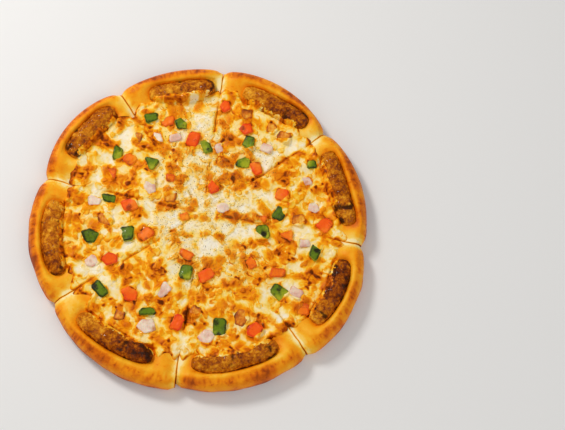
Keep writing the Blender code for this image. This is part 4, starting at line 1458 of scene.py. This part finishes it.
def herb_tree(finish):
    """Geometry Nodes that scatter flat flecks over a surface, thickest where its herb value is high."""
    tree = bpy.data.node_groups.new("scattered_herb", "GeometryNodeTree")
    ports = tree.interface
    ports.new_socket("Geometry", in_out="INPUT", socket_type="NodeSocketGeometry")
    ports.new_socket("Flecks per Square Metre", in_out="INPUT", socket_type="NodeSocketFloat")
    ports.new_socket("Fleck Size", in_out="INPUT", socket_type="NodeSocketFloat")
    ports.new_socket("Seed", in_out="INPUT", socket_type="NodeSocketInt")
    ports.new_socket("Geometry", in_out="OUTPUT", socket_type="NodeSocketGeometry")

    def add(kind, settings=None, inputs=None, output=0):
        """Adds one node, and returns one of its outputs."""
        made = tree.nodes.new(kind)
        for key, value in (settings or {}).items():
            setattr(made, key, value)
        for key, value in (inputs or {}).items():
            if isinstance(value, bpy.types.NodeSocket):
                tree.links.new(value, made.inputs[key])
            else:
                made.inputs[key].default_value = value
        return made.outputs[output]

    given = tree.nodes.new("NodeGroupInput").outputs
    thickest = add("GeometryNodeInputNamedAttribute", {"data_type": "FLOAT"}, {"Name": "herb"}, "Attribute")
    factors = {0: thickest, 1: given["Flecks per Square Metre"]}
    density = add("ShaderNodeMath", {"operation": "MULTIPLY"}, factors)
    points = add(
        "GeometryNodeDistributePointsOnFaces",
        {"distribute_method": "RANDOM"},
        {"Mesh": given["Geometry"], "Density": density, "Seed": given["Seed"]},
    )
    lie = points.node.outputs["Rotation"]
    ball = add("GeometryNodeMeshIcoSphere", inputs={"Radius": given["Fleck Size"], "Subdivisions": 1})
    fleck = add("GeometryNodeTransform", inputs={"Geometry": ball, "Scale": FLECK_SHAPE})
    turns = {0: FLECK_TURNS[0], 1: FLECK_TURNS[1]}
    spin = add("FunctionNodeRandomValue", {"data_type": "FLOAT_VECTOR"}, turns)
    turned = add("FunctionNodeRotateEuler", {"space": "LOCAL"}, {"Rotation": lie, "Rotate By": spin})
    size = add("FunctionNodeRandomValue", {"data_type": "FLOAT"}, {2: FLECK_SIZES[0], 3: FLECK_SIZES[1]}, 1)
    placed = add(
        "GeometryNodeInstanceOnPoints",
        inputs={"Points": points, "Instance": fleck, "Rotation": turned, "Scale": size},
    )
    real = add("GeometryNodeRealizeInstances", inputs={"Geometry": placed})
    finished = add("GeometryNodeSetMaterial", inputs={"Geometry": real, "Material": finish})
    tree.links.new(finished, tree.nodes.new("NodeGroupOutput").inputs["Geometry"])
    return tree


def scatter_herb(cheeses, finish):
    """Dried herb over the cheese, as one mesh."""
    tree = herb_tree(finish)
    sockets = {item.name: item.identifier for item in tree.interface.items_tree if item.in_out == "INPUT"}
    joined = bmesh.new()
    for index, cheese in enumerate(cheeses):
        host = show("herb_host", cheese.data.copy())
        modifier = host.modifiers.new("herb", "NODES")
        modifier.node_group = tree
        modifier[sockets["Flecks per Square Metre"]] = float(HERB_FLECKS_PER_SQUARE_METRE)
        modifier[sockets["Fleck Size"]] = HERB_FLECK
        modifier[sockets["Seed"]] = index + 1
        graph = bpy.context.evaluated_depsgraph_get()
        flecks = bpy.data.meshes.new_from_object(host.evaluated_get(graph))
        joined.from_mesh(flecks)
        bpy.data.objects.remove(host)
        bpy.data.meshes.remove(flecks)
    mesh = bpy.data.meshes.new("herb_flecks")
    joined.to_mesh(mesh)
    joined.free()
    mesh.materials.append(finish)
    made = show("herb_flecks", mesh)
    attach(made, "root")


def make_stage():
    """A plain pale floor and soft studio light."""
    mesh = bpy.data.meshes.new("floor")
    half = FLOOR_HALF_WIDTH
    corners = [(-half, -half, 0), (half, -half, 0), (half, half, 0), (-half, half, 0)]
    mesh.from_pydata(corners, [], [(0, 1, 2, 3)])
    floor = show("floor", mesh)
    plain = Finish("pale_floor", roughness=0.7, base_color=(0.86, 0.86, 0.86, 1))
    mesh.materials.append(plain.made)
    for name, place, width, power, tint in LIGHTS:
        data = bpy.data.lights.new(name, "AREA")
        data.size = width
        data.energy = power
        data.color = tint
        light = show(name, data)
        light.location = place
        light.rotation_mode = "QUATERNION"
        light.rotation_quaternion = (-Vector(place)).to_track_quat("-Z", "Y")
    world = bpy.data.worlds.new("studio")
    world.use_nodes = True
    world.node_tree.nodes["Background"].inputs["Color"].default_value = (1.0, 0.99, 0.97, 1)
    world.node_tree.nodes["Background"].inputs["Strength"].default_value = 0.4
    bpy.context.scene.world = world
    bpy.context.scene.view_settings.view_transform = "Standard"


def make_camera():
    """The camera looks down on the pizza, turned so that its middle lies on its pixel of the photograph."""
    tilt = math.radians(CAMERA_ELEVATION)
    back = Vector((0, -math.cos(tilt), math.sin(tilt)))
    data = bpy.data.cameras.new("camera")
    data.lens = CAMERA_LENS
    data.sensor_width = SENSOR
    data.clip_start, data.clip_end = 0.05, 10
    camera = show("camera", data)
    focal = CAMERA_LENS / SENSOR * PHOTO_WIDTH
    right = (MIDDLE_PIXEL[0] - PHOTO_WIDTH / 2) / focal
    down = (MIDDLE_PIXEL[1] - PHOTO_HEIGHT / 2) / focal
    wanted = Vector((right, -down, -1)).normalized()
    aim = (-back).to_track_quat("-Z", "Y")
    camera.rotation_mode = "QUATERNION"
    camera.rotation_quaternion = aim @ wanted.rotation_difference(Vector((0, 0, -1)))
    camera.location = Vector((0, 0, MIDDLE_HEIGHT)) + back * CAMERA_DISTANCE
    bpy.context.scene.camera = camera


def slice_at(pieces, x, y):
    """The slice that a point lies on."""
    bearing = math.atan2(y - CUT_POINT.y, x - CUT_POINT.x)
    return next(piece for piece in pieces if (bearing - piece.first) % math.tau < piece.span)


def gather_chunks(pieces):
    """Every chunk of topping, by slice: the CAD's own nodes, and the half sunk ones."""
    found = {piece.number: [] for piece in pieces}
    for node in sorted(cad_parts):
        kind = node[:-3]
        if kind in STANDS_PROUD:
            chunk = node_chunk(node, kind)
            found[slice_at(pieces, *chunk.middle).number].append(chunk)
    for k, row in enumerate(SUNK_CHUNKS):
        piece = slice_at(pieces, row[1] * MM, row[2] * MM)
        found[piece.number].append(sunk_chunk(row, piece, FIRST_SUNK_SEED + k))
    return found


def main():
    """Makes every piece, slice by slice, then the herb, the stage and the camera."""
    finishes = make_finishes()
    pieces = [Slice(index) for index in range(len(SLICES))]
    chunks = gather_chunks(pieces)
    cheeses = []
    number = 0
    for piece in pieces:
        make_dough(piece, finishes["dough"])
        cheeses.append(make_cheese(piece, chunks[piece.number], finishes["cheese"]))
        make_kebab(piece.index, finishes["kebab"])
        for chunk in chunks[piece.number]:
            number += 1
            made = finish_chunk(chunk, finishes[chunk.kind], number)
            if chunk.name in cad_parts:
                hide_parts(chunk.name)
    scatter_herb(cheeses, finishes["herb"])
    make_stage()
    make_camera()


main()
